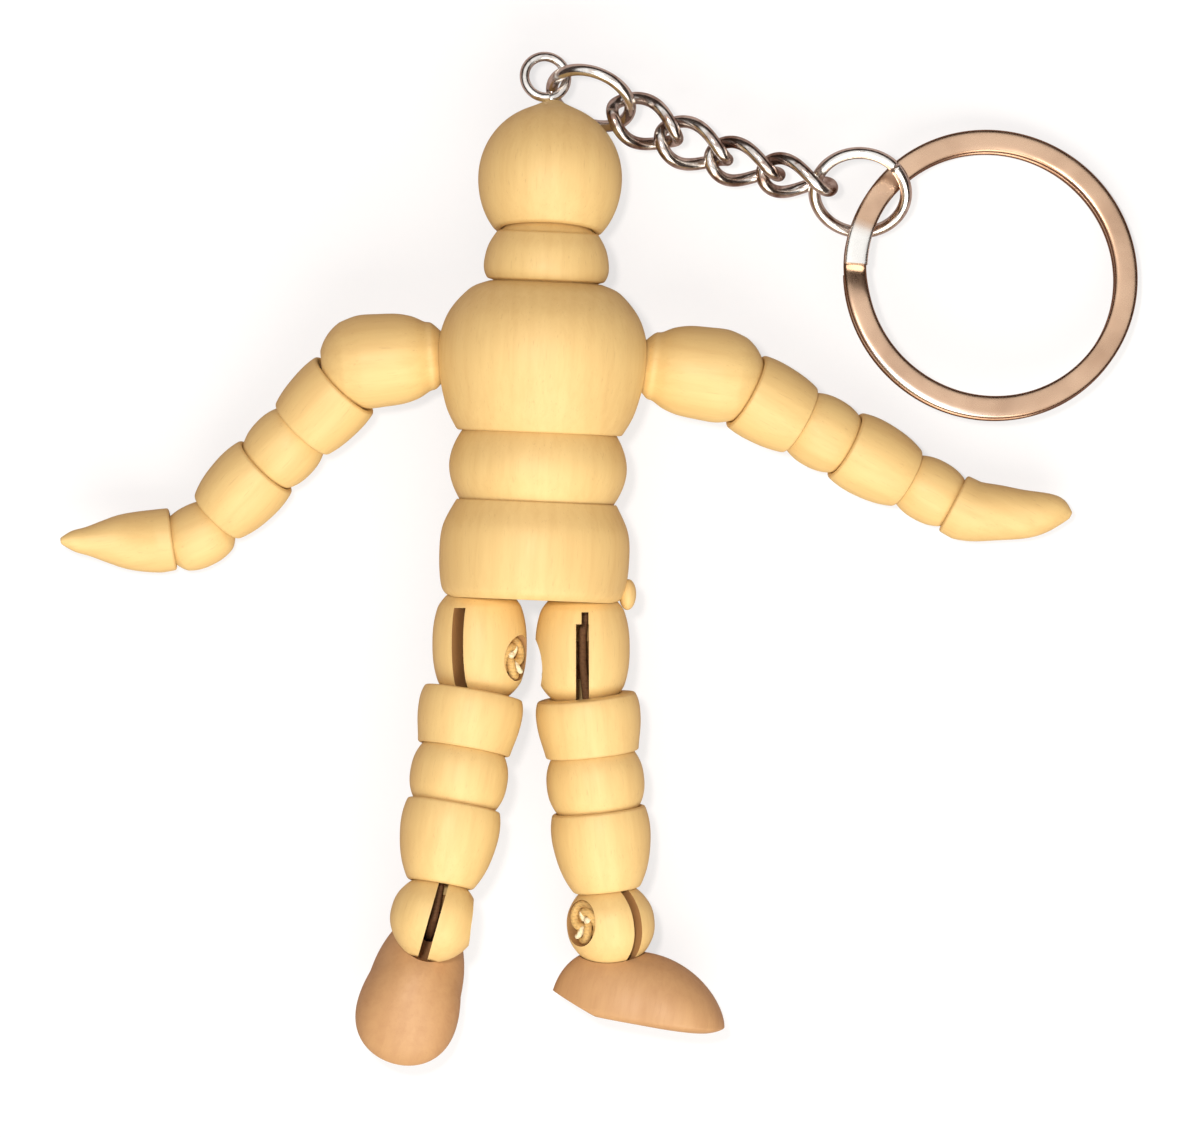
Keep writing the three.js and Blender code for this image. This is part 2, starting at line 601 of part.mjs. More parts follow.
// A flat split ring: two coils of flat wire, each level for most of its turn, joined by one short step
function splitRingSolid() {
  const rise = SPLIT_COIL + SPLIT_GAP;
  const step = SPLIT_STEP_TURN / 360;
  const turns = 2 - 1 / 90;
  const level = (turn) => {
    const s = THREE.MathUtils.clamp((turn - (1 - step / 2)) / step, 0, 1);
    return rise * (s * s * (3 - 2 * s) - 0.5);
  };
  const steps = 84;
  const [inner, outer] = [SPLIT_RADIUS - SPLIT_BAND / 2, SPLIT_RADIUS + SPLIT_BAND / 2];
  const half = SPLIT_COIL / 2;
  const section = [[inner, -half], [outer, -half], [outer, half], [inner, half]];
  const positions = [];
  const index = [];
  for (let i = 0; i <= steps; i += 1) {
    const turn = (turns * i) / steps;
    const angle = 2 * Math.PI * turn + degrees(SPLIT_END);
    for (const [radius, z] of section) {
      positions.push(radius * Math.cos(angle), radius * Math.sin(angle), level(turn) + z);
    }
    for (let j = 0; j < 4 && i < steps; j += 1) {
      const [a, b] = [4 * i + j, 4 * i + ((j + 1) % 4)];
      index.push(a, b, b + 4, a, b + 4, a + 4);
    }
  }
  const last = 4 * steps;
  index.push(0, 2, 1, 0, 3, 2, last, last + 1, last + 2, last, last + 2, last + 3);
  const geometry = new THREE.BufferGeometry();
  geometry.setAttribute('position', new THREE.Float32BufferAttribute(positions, 3));
  geometry.setIndex(index);
  return solidOf(geometry);
}

// A cord along its route, with a trefoil knot at each listed place
function cordSolid(route, steps, knots = []) {
  const curve = new THREE.CatmullRomCurve3(route, false, 'centripetal');
  return knots.reduce((solid, { centre, facing }) => {
    const geometry = new THREE.TorusKnotGeometry(KNOT_RADIUS, KNOT_STRAND, 20, 4, 2, 3);
    geometry.applyQuaternion(new THREE.Quaternion().setFromUnitVectors(UP, facing));
    geometry.translate(...centre.toArray());
    return solid.add(solidOf(geometry));
  }, tube(curve, CORD_RADIUS, steps, CORD_SIDES));
}

// The figure, about the middle of the chest
const figure = new THREE.Group();
figure.name = 'figure_keychain';
const place = (group, name, solid, material, along = 0) => {
  const mesh = meshOf(name, solid, material);
  mesh.position.y = along;
  group.add(mesh);
  return mesh;
};

// Torso
const torso = new THREE.Group();
figure.add(torso);
const shoulderSeat = (side) => vec(side * SHOULDER_OUT, -SHOULDER_DROP, -SHOULDER_BACK);
place(torso, 'chest', chestSolid([shoulderSeat(-1), shoulderSeat(1)]), wood());
place(torso, 'neck', neckSolid(), wood(), NECK_HEIGHT);
place(torso, 'waist', waistSolid(), wood(), -WAIST_DROP);

const headPivot = vec(0, NECK_HEIGHT + neckTopShift, 0);
const headGroup = stand(new THREE.Group(), headPivot, heading(90, -HEAD_DROP));
figure.add(headGroup);
place(headGroup, 'head', headSolid(), wood());

const pelvisGroup = stand(new THREE.Group(), vec(0, -WAIST_DROP - waistShift, 0), vec(0, 1, 0));
figure.add(pelvisGroup);
const waistCup = cupEnd(WAIST_DOME, rimAngleOf(WAIST_RIM, WAIST_DOME));
const pelvisFloor = -waistCup.depth - PELVIS_LENGTH;
const hipAt = (side) => vec(side * HIP_OUT, pelvisFloor - HIP_BELOW_PELVIS, 0);
const hipPassage = [
  hipAt(-1),
  vec(-HIP_OUT, pelvisFloor + PASSAGE_ENTRY, 0),
  vec(-PASSAGE_SPREAD * HIP_OUT, pelvisFloor + PASSAGE_RISE, -PASSAGE_BACK),
  vec(PASSAGE_SPREAD * HIP_OUT, pelvisFloor + PASSAGE_RISE, -PASSAGE_BACK),
  vec(HIP_OUT, pelvisFloor + PASSAGE_ENTRY, 0),
  hipAt(1),
];
const passageCurve = new THREE.CatmullRomCurve3(hipPassage, false, 'centripetal');
place(pelvisGroup, 'pelvis', pelvisSolid([hipAt(-1), hipAt(1)], passageCurve), wood());

// Arms
function buildArm(prefix, pose) {
  const seat = shoulderSeat(pose.side);
  const armWay = heading(pose.arm, -ARM_DROP);
  const shoulder = stand(new THREE.Group(), seat, heading(pose.shoulder));
  const cordWay = armWay.clone().applyQuaternion(shoulder.quaternion.clone().invert());
  place(shoulder, `${prefix}_shoulder`, shoulderSolid(cordWay), wood());
  const arm = stand(new THREE.Group(), pointIn(shoulder, 0, SHOULDER_SPAN, 0), armWay);
  place(arm, `${prefix}_upper_arm`, upperArmSolid(), wood());
  place(arm, `${prefix}_elbow`, elbowSolid(), wood(), UPPER_ARM_LENGTH);
  place(arm, `${prefix}_forearm`, forearmSolid(), wood(), UPPER_ARM_LENGTH + elbowShift);
  const wristCentre = pointIn(arm, 0, UPPER_ARM_LENGTH + FOREARM_LENGTH, 0);
  const handWay = heading(pose.hand, -1);
  const bend = THREE.MathUtils.radToDeg(armWay.angleTo(handWay));
  const wristWay = armWay.clone().add(handWay).normalize();
  const wrist = stand(new THREE.Group(), wristCentre, wristWay);
  place(wrist, `${prefix}_wrist`, wristSolid(bend), wood());
  const hand = stand(new THREE.Group(), pointIn(wrist, 0, wristShift, 0), handWay, UP, pose.roll);
  place(hand, `${prefix}_hand`, handSolid(pose.side), wood());
  figure.add(shoulder, arm, wrist, hand);
  const cordEnd = WRIST_DOME + JOINT_GAP + HAND_BORE_DEPTH - JOINT_GAP;
  return [
    seat,
    pointIn(shoulder, 0, SHOULDER_SPAN, 0),
    pointIn(arm, 0, SHOULDER_DOME, 0),
    pointIn(arm, 0, UPPER_ARM_LENGTH, 0),
    pointIn(arm, 0, UPPER_ARM_LENGTH + FOREARM_LENGTH / 2, 0),
    wristCentre,
    pointIn(hand, 0, cordEnd, 0),
  ];
}
const leftArmRoute = buildArm('left', LEFT_ARM);
const rightArmRoute = buildArm('right', RIGHT_ARM);

// Legs
function buildLeg(prefix, pose, footPose) {
  const hip = hipAt(pose.side).applyMatrix4(pelvisGroup.matrix);
  const thighWay = heading(THIGH_HEADING);
  const thighBall = reach(hip, thighWay, THIGH_SPAN);
  const thigh = stand(new THREE.Group(), thighBall, thighWay.clone().negate(), UP, pose.thighSlot);
  place(thigh, `${prefix}_thigh`, thighSolid(-pose.side), wood());
  const legWay = heading(pose.heading, pose.rise);
  const kneeCentre = reach(thighBall, legWay, LOWER_THIGH_LENGTH);
  const ankleCentre = reach(kneeCentre, legWay, CALF_LENGTH);
  const leg = stand(new THREE.Group(), ankleCentre, legWay.clone().negate());
  place(leg, `${prefix}_calf`, calfSolid(), wood());
  place(leg, `${prefix}_knee`, kneeSolid(), wood(), CALF_LENGTH);
  place(leg, `${prefix}_lower_thigh`, lowerThighSolid(), wood(), CALF_LENGTH + kneeShift);
  const ankleWay = heading(pose.ankle, pose.rise);
  const ankle = stand(new THREE.Group(), ankleCentre, ankleWay.clone().negate(), UP, pose.ankleSlot);
  place(ankle, `${prefix}_ankle`, ankleSolid(footPose.mouth, -pose.side), wood());
  const foot = stand(new THREE.Group(), ankleCentre, ankleWay.clone().negate(), UP, footPose.toe);
  foot.rotateX(degrees(footPose.flex));
  foot.updateMatrix();
  place(foot, `${prefix}_foot`, footSolid(), footWood());
  figure.add(thigh, leg, ankle, foot);
  const cordEnd = -(ANKLE_DOME + FOOT_BORE_DEPTH);
  const side = (group) => vec(1, 0, 0).applyQuaternion(group.quaternion);
  return {
    route: [
      reach(thighBall, thighWay, -THIGH_SPAN / 2),
      thighBall,
      reach(thighBall, legWay, THIGH_DOME),
      kneeCentre,
      reach(kneeCentre, legWay, CALF_LENGTH / 2),
      ankleCentre,
      pointIn(foot, 0, cordEnd, 0),
    ],
    knots: [
      { centre: thighBall, facing: side(thigh) },
      { centre: ankleCentre, facing: side(ankle) },
    ],
  };
}
const leftLeg = buildLeg('left', LEFT_LEG, LEFT_FOOT);
const rightLeg = buildLeg('right', RIGHT_LEG, RIGHT_FOOT);

// Cords
const armRoute = [...leftArmRoute.reverse(), ...rightArmRoute];
place(figure, 'arm_cord', cordSolid(armRoute, 34), elastic());
const pelvisRoute = hipPassage.map((point) => point.clone().applyMatrix4(pelvisGroup.matrix));
const legRoute = [...leftLeg.route.reverse(), ...pelvisRoute, ...rightLeg.route];
place(figure, 'leg_cord', cordSolid(legRoute, 48, [...leftLeg.knots, ...rightLeg.knots]), elastic());
const headCordEnd = NECK_DOME + HEAD_BORE_DEPTH;
const pelvisCordEnd = -(WAIST_DOME + PELVIS_BORE_DEPTH);
const spineRoute = [
  pointIn(headGroup, 0, headCordEnd, 0),
  headPivot,
  vec(0, 0, 0),
  pointIn(pelvisGroup, 0, pelvisCordEnd, 0),
];
place(figure, 'spine_cord', cordSolid(spineRoute, 10), elastic());

// Eye, chain and rings
const eyeOnHead = reach(vec(0, crown, 0), eyeWay, EYE_RADIUS + EYE_WIRE + JOINT_GAP);
const eyeCentre = pointIn(headGroup, ...eyeOnHead.toArray());
const eye = stand(new THREE.Group(), eyeOnHead, eyeWay, UP, EYE_ROLL);
place(eye, 'screw_eye', eyeSolid(), nickel());
headGroup.add(eye);

const ringPiece = (radius, roll) => ({ solid: jumpRingSolid(radius), half: radius, wire: RING_WIRE, roll });
const linkPiece = (i) => {
  const roll = LINK_ROLL_FIRST + i * LINK_ROLL_STEP;
  return { solid: linkSolid(), half: LINK_HALF, wire: LINK_WIRE, roll };
};
const chainPieces = [
  { name: 'jump_ring_head', ...ringPiece(FIRST_RING_RADIUS, FIRST_RING_ROLL) },
  ...Array.from({ length: LINK_COUNT }, (_, i) => ({ name: `curb_link_${i + 1}`, ...linkPiece(i) })),
  { name: 'jump_ring_key', ...ringPiece(LAST_RING_RADIUS, LAST_RING_ROLL) },
];
const chainWays = CHAIN_HEADINGS.map((angle) => heading(angle, -CHAIN_DROP));
let farEnd = reach(eyeCentre, chainWays[0], EYE_RADIUS);
let lastWire = EYE_WIRE;
let slack = EYE_SLACK;
let pieceCentre = eyeCentre;
chainPieces.forEach(({ name, solid, half, wire, roll }, i) => {
  pieceCentre = reach(farEnd, chainWays[i], half - (lastWire + wire + slack));
  const group = stand(new THREE.Group(), pieceCentre, chainWays[i], UP, roll);
  place(group, name, solid, nickel());
  figure.add(group);
  farEnd = reach(pieceCentre, chainWays[i], half);
  lastWire = wire;
  slack = LINK_SLACK;
});
const splitWay = heading(SPLIT_HEADING);
const splitOverlap = RING_WIRE + SPLIT_BAND / 2 + SPLIT_SLACK;
const splitCentre = reach(pieceCentre, splitWay, LAST_RING_RADIUS + SPLIT_RADIUS - splitOverlap);
splitCentre.z += SPLIT_LIFT;
const split = stand(new THREE.Group(), splitCentre, splitWay, UP, SPLIT_ROLL);
place(split, 'split_ring', splitRingSolid(), copperTint());
figure.add(split);

// The whole part, leaning as photographed, with its origin under the middle of its box
const part = new THREE.Group();
part.add(figure);
figure.rotation.z = -degrees(SPINE_LEAN);
part.updateMatrixWorld(true);
const box = new THREE.Box3().setFromObject(part, true);
part.position.set(-(box.min.x + box.max.x) / 2, -(box.min.y + box.max.y) / 2, -box.min.z);
part.updateMatrixWorld(true);

export default part;
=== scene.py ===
import json
import math
from collections import namedtuple
from types import SimpleNamespace

import bmesh
import bpy
import numpy as np
from bpy.props import FloatProperty, FloatVectorProperty, PointerProperty
from bpy.types import Operator, Panel, PropertyGroup
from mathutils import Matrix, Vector


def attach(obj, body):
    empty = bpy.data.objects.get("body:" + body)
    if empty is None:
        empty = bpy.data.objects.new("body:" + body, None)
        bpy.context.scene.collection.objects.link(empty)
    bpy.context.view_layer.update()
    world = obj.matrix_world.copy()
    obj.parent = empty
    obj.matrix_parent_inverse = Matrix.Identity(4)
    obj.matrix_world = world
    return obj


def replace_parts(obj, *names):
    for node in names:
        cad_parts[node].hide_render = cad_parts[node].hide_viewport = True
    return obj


bl_info = {
    "name": "Articulated Figure Keychain",
    "version": (1, 0, 0),
    "blender": (4, 5, 0),
    "location": "3D View > Sidebar > Figure",
    "description": "Dresses a jointed wooden figure on a key ring around its packed frame",
    "category": "Object",
}

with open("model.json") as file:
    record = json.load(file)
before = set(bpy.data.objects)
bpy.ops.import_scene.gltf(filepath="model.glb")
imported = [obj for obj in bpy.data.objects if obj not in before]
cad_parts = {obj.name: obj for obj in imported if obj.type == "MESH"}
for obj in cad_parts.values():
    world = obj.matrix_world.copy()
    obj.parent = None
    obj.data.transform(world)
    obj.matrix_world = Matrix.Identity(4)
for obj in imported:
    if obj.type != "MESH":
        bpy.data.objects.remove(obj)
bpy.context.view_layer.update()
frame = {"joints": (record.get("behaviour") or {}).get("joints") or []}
PIVOTS = {joint["name"]: np.array(joint["pos_m"]) * 1000 for joint in frame["joints"]}
MM = 0.001
UP = np.array([0.0, 0.0, 1.0])
X, Y, Z = range(3)
SIDES = ("left", "right")
LINKS = [f"curb_link_{i}" for i in range(1, 5)]

# The photographed pose, in degrees
SPINE_LEAN = 2.4
HEAD_DROP = 10
ARM_DROP = 12
HAND_DROP = 1
ARM_POSE = {
    "left": SimpleNamespace(side=-1, shoulder=187.4, arm=228.2, hand=190.4, roll=-72),
    "right": SimpleNamespace(side=1, shoulder=-6.1, arm=-26, hand=-25.5, roll=0),
}
THIGH_HEADING = -87.6
LEG_POSE = {
    "left": SimpleNamespace(side=-1, heading=-97.5, rise=4, ankle=-103.5, thigh_slot=-28, ankle_slot=0),
    "right": SimpleNamespace(side=1, heading=-81.45, rise=-5, ankle=-81.45, thigh_slot=0, ankle_slot=38),
}
FOOT_POSE = {"left": (72, 0), "right": (16, 90)}
EYE_ROLL = 10
EYE_LEAN = 18
CHAIN_HEADINGS = (-21.6, -24.6, -19.6, -13.6, -11.6, -7)
CHAIN_ROLLS = (52, 15, 30, 45, 60, 31)
CHAIN_DROP = 3
LINK_TWIST = -115
RING_GAPS = {"jump_ring_head": 285, "jump_ring_key": 142}
SPLIT_HEADING = -30
SPLIT_ROLL = -15
SPLIT_END = -57

# Angles of shapes, in degrees: the edge of a ball bead's dome from its axis, and the lift of the heels
EGG_EDGE = 60
HEEL_LIFT = 20

# Small lengths, in millimetres: widening of the cord holes at their mouths, low end first
NECK_FLARES = (0.3, 1.0)
WAIST_FLARE = 0.4
SHOULDER_FLARE = 0.4
ELBOW_FLARE = 0.2
WRIST_FLARE = 0.5
THIGH_FLARES = (1.3, 0.8)
KNEE_FLARE = 0.3
ANKLE_FLARE = 0.5

# Depths of the blind cord holes below their cups, and of the cord in them
HEAD_BORE, HEAD_CORD = 4.0, 3.6
PELVIS_BORE, PELVIS_CORD = 3.0, 2.6
FOOT_BORE, FOOT_CORD = 2.5, 2.2
HAND_BORE = 0.9

# How far a cord's rounded end stays inside the dome that it comes out of
CORD_INSET = 0.05

# Ledges of the neck, peak of the crown, room round the screw, plug at the hip, knots and slots
NECK_LEDGES = (0.55, 0.4)
CROWN_PEAK, CROWN_SPREAD = 0.6, 1.4
SCREW_ROOM = 0.12
PLUG_SIZE = (0.85, 1.55, 1.1)
PLUG_SHIFT = (4.35, 0.95)
KNOT_RISE = {"thigh": 0, "ankle": 0.6}
KNOT_DEPTH = {"left_thigh": 0.65, "right_ankle": 0.65, "right_thigh": 1.05, "left_ankle": 1.05}
KNOT_HOLE_BACK = 1.7
KNOT_CORD, TAIL_CORD = 0.43, 0.34
SLOT_STEP = 1.2

# Shares: how full the hands' tips and the thighs are, and half an ankle's slot in widths of a thigh's
HAND_FULL = {"left": 0.54, "right": 0.78}
THIGH_FULL = 0.985
ANKLE_SLOT = 0.38

# A bead's hole is shaded from this many times its radius inward
BORE_REACH = 1.6

# Powers of the curves of the head's jaw, the sides of neck and waist, and the hands' sweep
JAW_POWER = 0.82
NECK_POWER = 2.6
WAIST_POWER = 1.9
SWEEP_POWER = 1.2

# Depth of colour on cut walls, at their mouth: the raw wood's colour together with painted shade
DENT_SHADE = 0.3
HOLE_SHADE = 1.0
SLOT_SHADE = 0.75
BACK_SHADE = 0.9
KNOT_SHADE = 0.65

# Fineness of the meshes
TORSO_SIDES, TORSO_ROWS = 128, 150
LIMB_SIDES, LIMB_ROWS, HAND_ROWS = 96, 110, 120
FOOT_SIDES, FOOT_ROWS = 128, 96
WIRE_SIDES = 28
EYE_STEPS, LINK_STEPS, RING_STEPS, SPLIT_STEPS = 110, 140, 150, 302

# Angles, in degrees, from which the edges of a cut and of the split ring's band are sharp
CUT_EDGE, BAND_EDGE = 38, 50

# Fewest faces that a cut leaves, and the distance in metres within which points are one
FEWEST_FACES = 50
SAME_POINT = 1e-8

# Steps between the grain of one bead and the next, and a direction that no wire starts along
GRAIN_STEP, GRAIN_CYCLES = 37.0, (5, 7, 11)
ASLANT = (0.31, 0.23, 0.92)

# Painted silver highlight where light glints on the split ring
GLINT_SILVER = (0.92, 0.90, 0.86)

# Stage, in metres: lamps are place, aim, size, power and colour
LAMPS = {
    "key_light": ((0.05, -0.36, 0.34), (0, -0.01, 0), 0.50, 2.5, (1.0, 0.965, 0.88)),
    "top_light": ((-0.075, 0.065, 0.9), (0, 0, 0), 0.06, 4.0, (1.0, 0.92, 0.87)),
}
CAMERA_AT = (-0.00005, -0.0011, 3.0)
PICTURE_WIDTH = 0.1198
PICTURE_LEVEL = 0.011
SENSOR = 36.0
FLOOR_HALF = 2.5
FLOOR_GLOW = 0.66
WHITE = (1.0, 1.0, 1.0, 1.0)
SOFT_LIGHT, SOFT_STRENGTH = (1.0, 0.89, 0.88, 1.0), 0.43
CARD_COLOUR = (0.055, 0.038, 0.03, 1.0)
CARD_RINGS = ((0.9, 0.02), (0.75, 0.62))
CARD_SIDES = 48


def length(name, mm, description):
    """A length property, with its default in millimetres."""
    return FloatProperty(name=name, description=description, default=mm * MM, unit="LENGTH", precision=5)


def tint(name, description, *default):
    """A colour property, in linear light."""
    return FloatVectorProperty(
        name=name, description=description, default=default, subtype="COLOR", size=3, min=0.0, max=1.0
    )


class TorsoSizes(PropertyGroup):
    head_radius: length("Head radius", 7.2, "Widest radius of the head")
    head_half_height: length("Head half height", 7.45, "From the middle of the head to its crown")
    head_above_neck: length("Head above neck", 8.0, "From the middle of the neck to the middle of the head")
    neck_height: length("Neck height", 10.5, "From the middle of the chest to the middle of the neck")
    neck_half: length("Neck half length", 2.5, "Half the length of the neck between its rims")
    neck_rim_top: length("Neck top rim", 4.65, "Radius of the neck where the head sits")
    neck_rim_base: length("Neck base rim", 5.3, "Radius of the neck where it sits in the chest")
    neck_belly: length("Neck belly", 6.15, "Widest radius of the neck")
    neck_dome: length("Neck dome", 6.2, "Radius of the domes at the ends of the neck")
    chest_radius: length("Chest radius", 10.5, "Widest radius of the chest")
    waist_drop: length("Waist drop", 10.6, "From the middle of the chest to the middle of the waist")
    waist_half: length("Waist half length", 3.35, "Half the length of the waist between its rims")
    waist_rim: length("Waist rim", 7.8, "Radius of the waist at its rims")
    waist_belly: length("Waist belly", 8.9, "Widest radius of the waist")
    waist_dome: length("Waist dome", 8.9, "Radius of the domes at the ends of the waist")
    pelvis_radius: length("Pelvis radius", 9.5, "Widest radius of the pelvis")
    pelvis_length: length("Pelvis length", 9.8, "Length of the pelvis from its rim to its base")
    joint_gap: length("Joint gap", 0.3, "Clearance between a dome and its cup")
    seam: length("Seam", 0.1, "Gap between a dome and its cup that is seen")
    lip_wall: length("Lip wall", 0.22, "Thickness of a cup at its lip")
    bore: length("Cord bore", 0.9, "Radius of the cord holes")
    cord: length("Cord radius", 0.4, "Radius of the elastic cord")


class ArmSizes(PropertyGroup):
    shoulder_out: length("Shoulder out", 13.75, "From the spine to the shoulder's seat")
    shoulder_drop: length("Shoulder drop", 0.25, "How far the seat lies below the middle of the chest")
    shoulder_back: length("Shoulder back", 1.5, "How far the seat lies behind the spine")
    shoulder_dome: length("Shoulder ball", 4.82, "Radius of the balls of the shoulder bead")
    shoulder_span: length("Shoulder span", 3.8, "Distance between the balls of the shoulder bead")
    shoulder_rim: length("Shoulder rim", 3.6, "Radius of the upper arm's cup on the shoulder")
    upper_length: length("Upper arm length", 12.3, "From the shoulder's outer ball to the elbow")
    upper_belly: length("Upper arm belly", 4.2, "Widest radius of the upper arm")
    elbow_half: length("Elbow half length", 2.5, "Half the length of the elbow between its rims")
    elbow_rim: length("Elbow rim", 3.2, "Radius of the elbow at its rims")
    elbow_belly: length("Elbow belly", 3.75, "Widest radius of the elbow")
    elbow_dome: length("Elbow dome", 4.1, "Radius of the elbow's domes")
    fore_length: length("Forearm length", 12.5, "From the elbow to the wrist")
    fore_belly: length("Forearm belly", 3.95, "Widest radius of the forearm")
    wrist_half: length("Wrist half length", 2.5, "Half the length of the wrist between its rims")
    wrist_rim: length("Wrist rim", 2.7, "Radius of the wrist at its rims")
    wrist_belly: length("Wrist belly", 3.25, "Widest radius of the wrist")
    wrist_dome: length("Wrist dome", 3.7, "Radius of the wrist's domes")
    hand_length: length("Hand length", 13.7, "From the wrist to the tip of the hand")
    hand_half_width: length("Hand half width", 3.2, "Half the width of the palm")
    hand_sweep: length("Hand sweep", 4.4, "How far the tip of the hand sweeps to one side")
    hand_tip: length("Hand tip", 0.35, "Radius of the tip of the hand")


class LegSizes(PropertyGroup):
    hip_out: length("Hip out", 5.15, "From the spine to a hip")
    hip_below: length("Hip below pelvis", 3.2, "From the base of the pelvis to a hip's ball centre")
    thigh_dome: length("Thigh ball", 4.8, "Radius of the balls of the thigh bead")
    thigh_span: length("Thigh span", 2.8, "Distance between the balls of the thigh bead")
    lower_length: length("Lower thigh length", 12.1, "From the thigh's lower ball to the knee")
    lower_belly: length("Lower thigh belly", 5.2, "Widest radius of the lower thigh")
    lower_lip: length("Lower thigh lip", 4.9, "Outer radius of the lower thigh's upper rim")
    lower_drop: length("Lower thigh rim drop", 3.5, "From the thigh's ball centre down to that rim")
    knee_half: length("Knee half length", 2.7, "Half the length of the knee between its rims")
    knee_rim: length("Knee rim", 4.2, "Radius of the knee at its rims")
    knee_belly: length("Knee belly", 4.9, "Widest radius of the knee")
    knee_dome: length("Knee dome", 5.0, "Radius of the knee's domes")
    calf_length: length("Calf length", 14.35, "From the knee to the ankle")
    calf_belly: length("Calf belly", 4.8, "Widest radius of the calf")
    calf_rise: length("Calf rim rise", 3.5, "From the ankle's centre up to the calf's rim")
    ankle_dome: length("Ankle ball", 4.4, "Radius of the ankle ball")
    slot_width: length("Slot width", 1.3, "Width of the cord slots")
    slot_rise: length("Thigh slot rise", 5.0, "How far the thigh's slot runs up from the lower ball's centre")
    knot_hole: length("Knot hole", 2.3, "Radius of the cross holes that hold the knots")
    foot_length: length("Foot length", 17.6, "Length of a foot from heel to toe")
    foot_width: length("Foot width", 10.2, "Width of a foot near the toes")
    foot_height: length("Foot height", 7.0, "Height of a foot at the instep")
    foot_heel: length("Foot heel", 4.6, "From the ankle's centre back to the heel")
    foot_seat: length("Foot seat", 2.2, "How deep the ankle sits in the foot")
    sole_round: length("Sole round", 0.9, "Rounding at the edge of the sole")


class MetalSizes(PropertyGroup):
    eye_radius: length("Eye radius", 2.15, "Radius of the screw eye's loop")
    eye_wire: length("Eye wire", 0.48, "Radius of the screw eye's wire")
    eye_shank: length("Eye shank", 5.0, "Length of the screw below the loop")
    ring_wire: length("Jump ring wire", 0.6, "Radius of the jump rings' wire")
    first_ring: length("Jump ring at the head", 4.1, "Radius of the jump ring at the screw eye")
    last_ring: length("Jump ring at the key end", 4.6, "Radius of the jump ring at the split ring")
    link_half: length("Link half length", 3.6, "Half the length of a curb link")
    link_width: length("Link half width", 2.25, "Half the width of a curb link")
    link_wire: length("Link wire", 0.63, "Radius of the links' wire")
    link_slack: length("Link slack", 0.5, "Play between links")
    eye_slack: length("Eye slack", 0.15, "Play between the screw eye and its jump ring")
    split_radius: length("Split ring radius", 13.7, "Radius of the split ring at the middle of its band")
    split_band: length("Split ring band", 2.3, "Width of the split ring's flat wire")
    split_coil: length("Split ring wire", 0.8, "Thickness of the split ring's flat wire")
    split_gap: length("Split ring gap", 0.3, "Gap between the two coils")
    split_slack: length("Split ring slack", 1.1, "Play between the split ring and its jump ring")
    split_lift: length("Split ring lift", -0.6, "Height of the split ring against its jump ring")


class Finishes(PropertyGroup):
    pale_wood: tint("Pale wood", "Light part of the beads' wood", 0.78, 0.565, 0.232)
    warm_wood: tint("Warm wood", "Grain of the beads' wood", 0.65, 0.41, 0.152)
    # The feet's wood is a darker copy of the beads' wood: painted shade
    foot_wood: tint("Foot wood", "Light part of the feet", 0.55, 0.322, 0.145)
    foot_grain: tint("Foot grain", "Grain of the feet", 0.40, 0.20, 0.085)
    # Raw wood in the cuts, which also carries the painted shade in bores, cuts and dents
    bare_wood_and_shade: tint("Cut wood", "Bare wood inside slots and holes", 0.30, 0.105, 0.03)
    # Dark brown of the pores, which also stands for painted shade along the rims and seams
    seam: tint("Seam", "Darkened lacquer along the rims", 0.36, 0.17, 0.07)
    # The cord inside the beads is the knots' cord darkened: painted shade
    cord: tint("Cord", "Elastic cord inside the beads", 0.22, 0.10, 0.04)
    knot: tint("Knot", "Knots of the cord", 0.70, 0.45, 0.15)
    frayed: tint("Frayed ends", "Frayed ends of the cord", 0.95, 0.84, 0.56)
    nickel: tint("Nickel", "Bright part of the chain", 0.84, 0.81, 0.77)
    # Painted brown reflection on the chain, in patches
    brown_reflection: tint("Tarnish", "Brown cast on the chain", 0.27, 0.17, 0.13)
    copper: tint("Copper tint", "Flat of the split ring", 0.74, 0.50, 0.34)
    # Darker copper of the split ring: painted reflection in broad patches and painted shade along the band's
    # edges
    copper_reflection_and_shade: tint("Worn copper", "Worn part of the split ring", 0.30, 0.165, 0.10)
    floor: tint("Floor", "Paper that the figure lies on", 0.97, 0.97, 0.965)
    bounce: tint("Bounce", "Light that the paper throws back on the figure", 0.40, 0.31, 0.28)


def in_mm(group):
    """A property group's lengths in millimetres."""
    return SimpleNamespace(**{name: getattr(group, name) / MM for name in group.__annotations__})


def dome_shift(half, dome, rim):
    """From a bead's middle to its dome's centre: half the bead less the dome's height at its rim."""
    return half - math.sqrt(dome**2 - rim**2)


def sizes(context):
    """Torso, arm, leg and metal sizes in millimetres, with the ball centres that follow from them."""
    scene = context.scene
    groups = (scene.torso_sizes, scene.arm_sizes, scene.leg_sizes, scene.metal_sizes)
    t, a, g, m = (in_mm(group) for group in groups)
    t.top = dome_shift(t.neck_half, t.neck_dome, t.neck_rim_top)
    t.base = -dome_shift(t.neck_half, t.neck_dome, t.neck_rim_base)
    t.waist = dome_shift(t.waist_half, t.waist_dome, t.waist_rim)
    t.crown = t.head_above_neck - t.top + t.head_half_height
    a.elbow = dome_shift(a.elbow_half, a.elbow_dome, a.elbow_rim)
    a.wrist = dome_shift(a.wrist_half, a.wrist_dome, a.wrist_rim)
    g.knee = dome_shift(g.knee_half, g.knee_dome, g.knee_rim)
    return t, a, g, m


# Places. A place is an origin and three axes, in the figure's own frame about the middle of the chest.
Place = namedtuple("Place", "origin basis")
FIGURE = Place(np.zeros(3), np.eye(3))


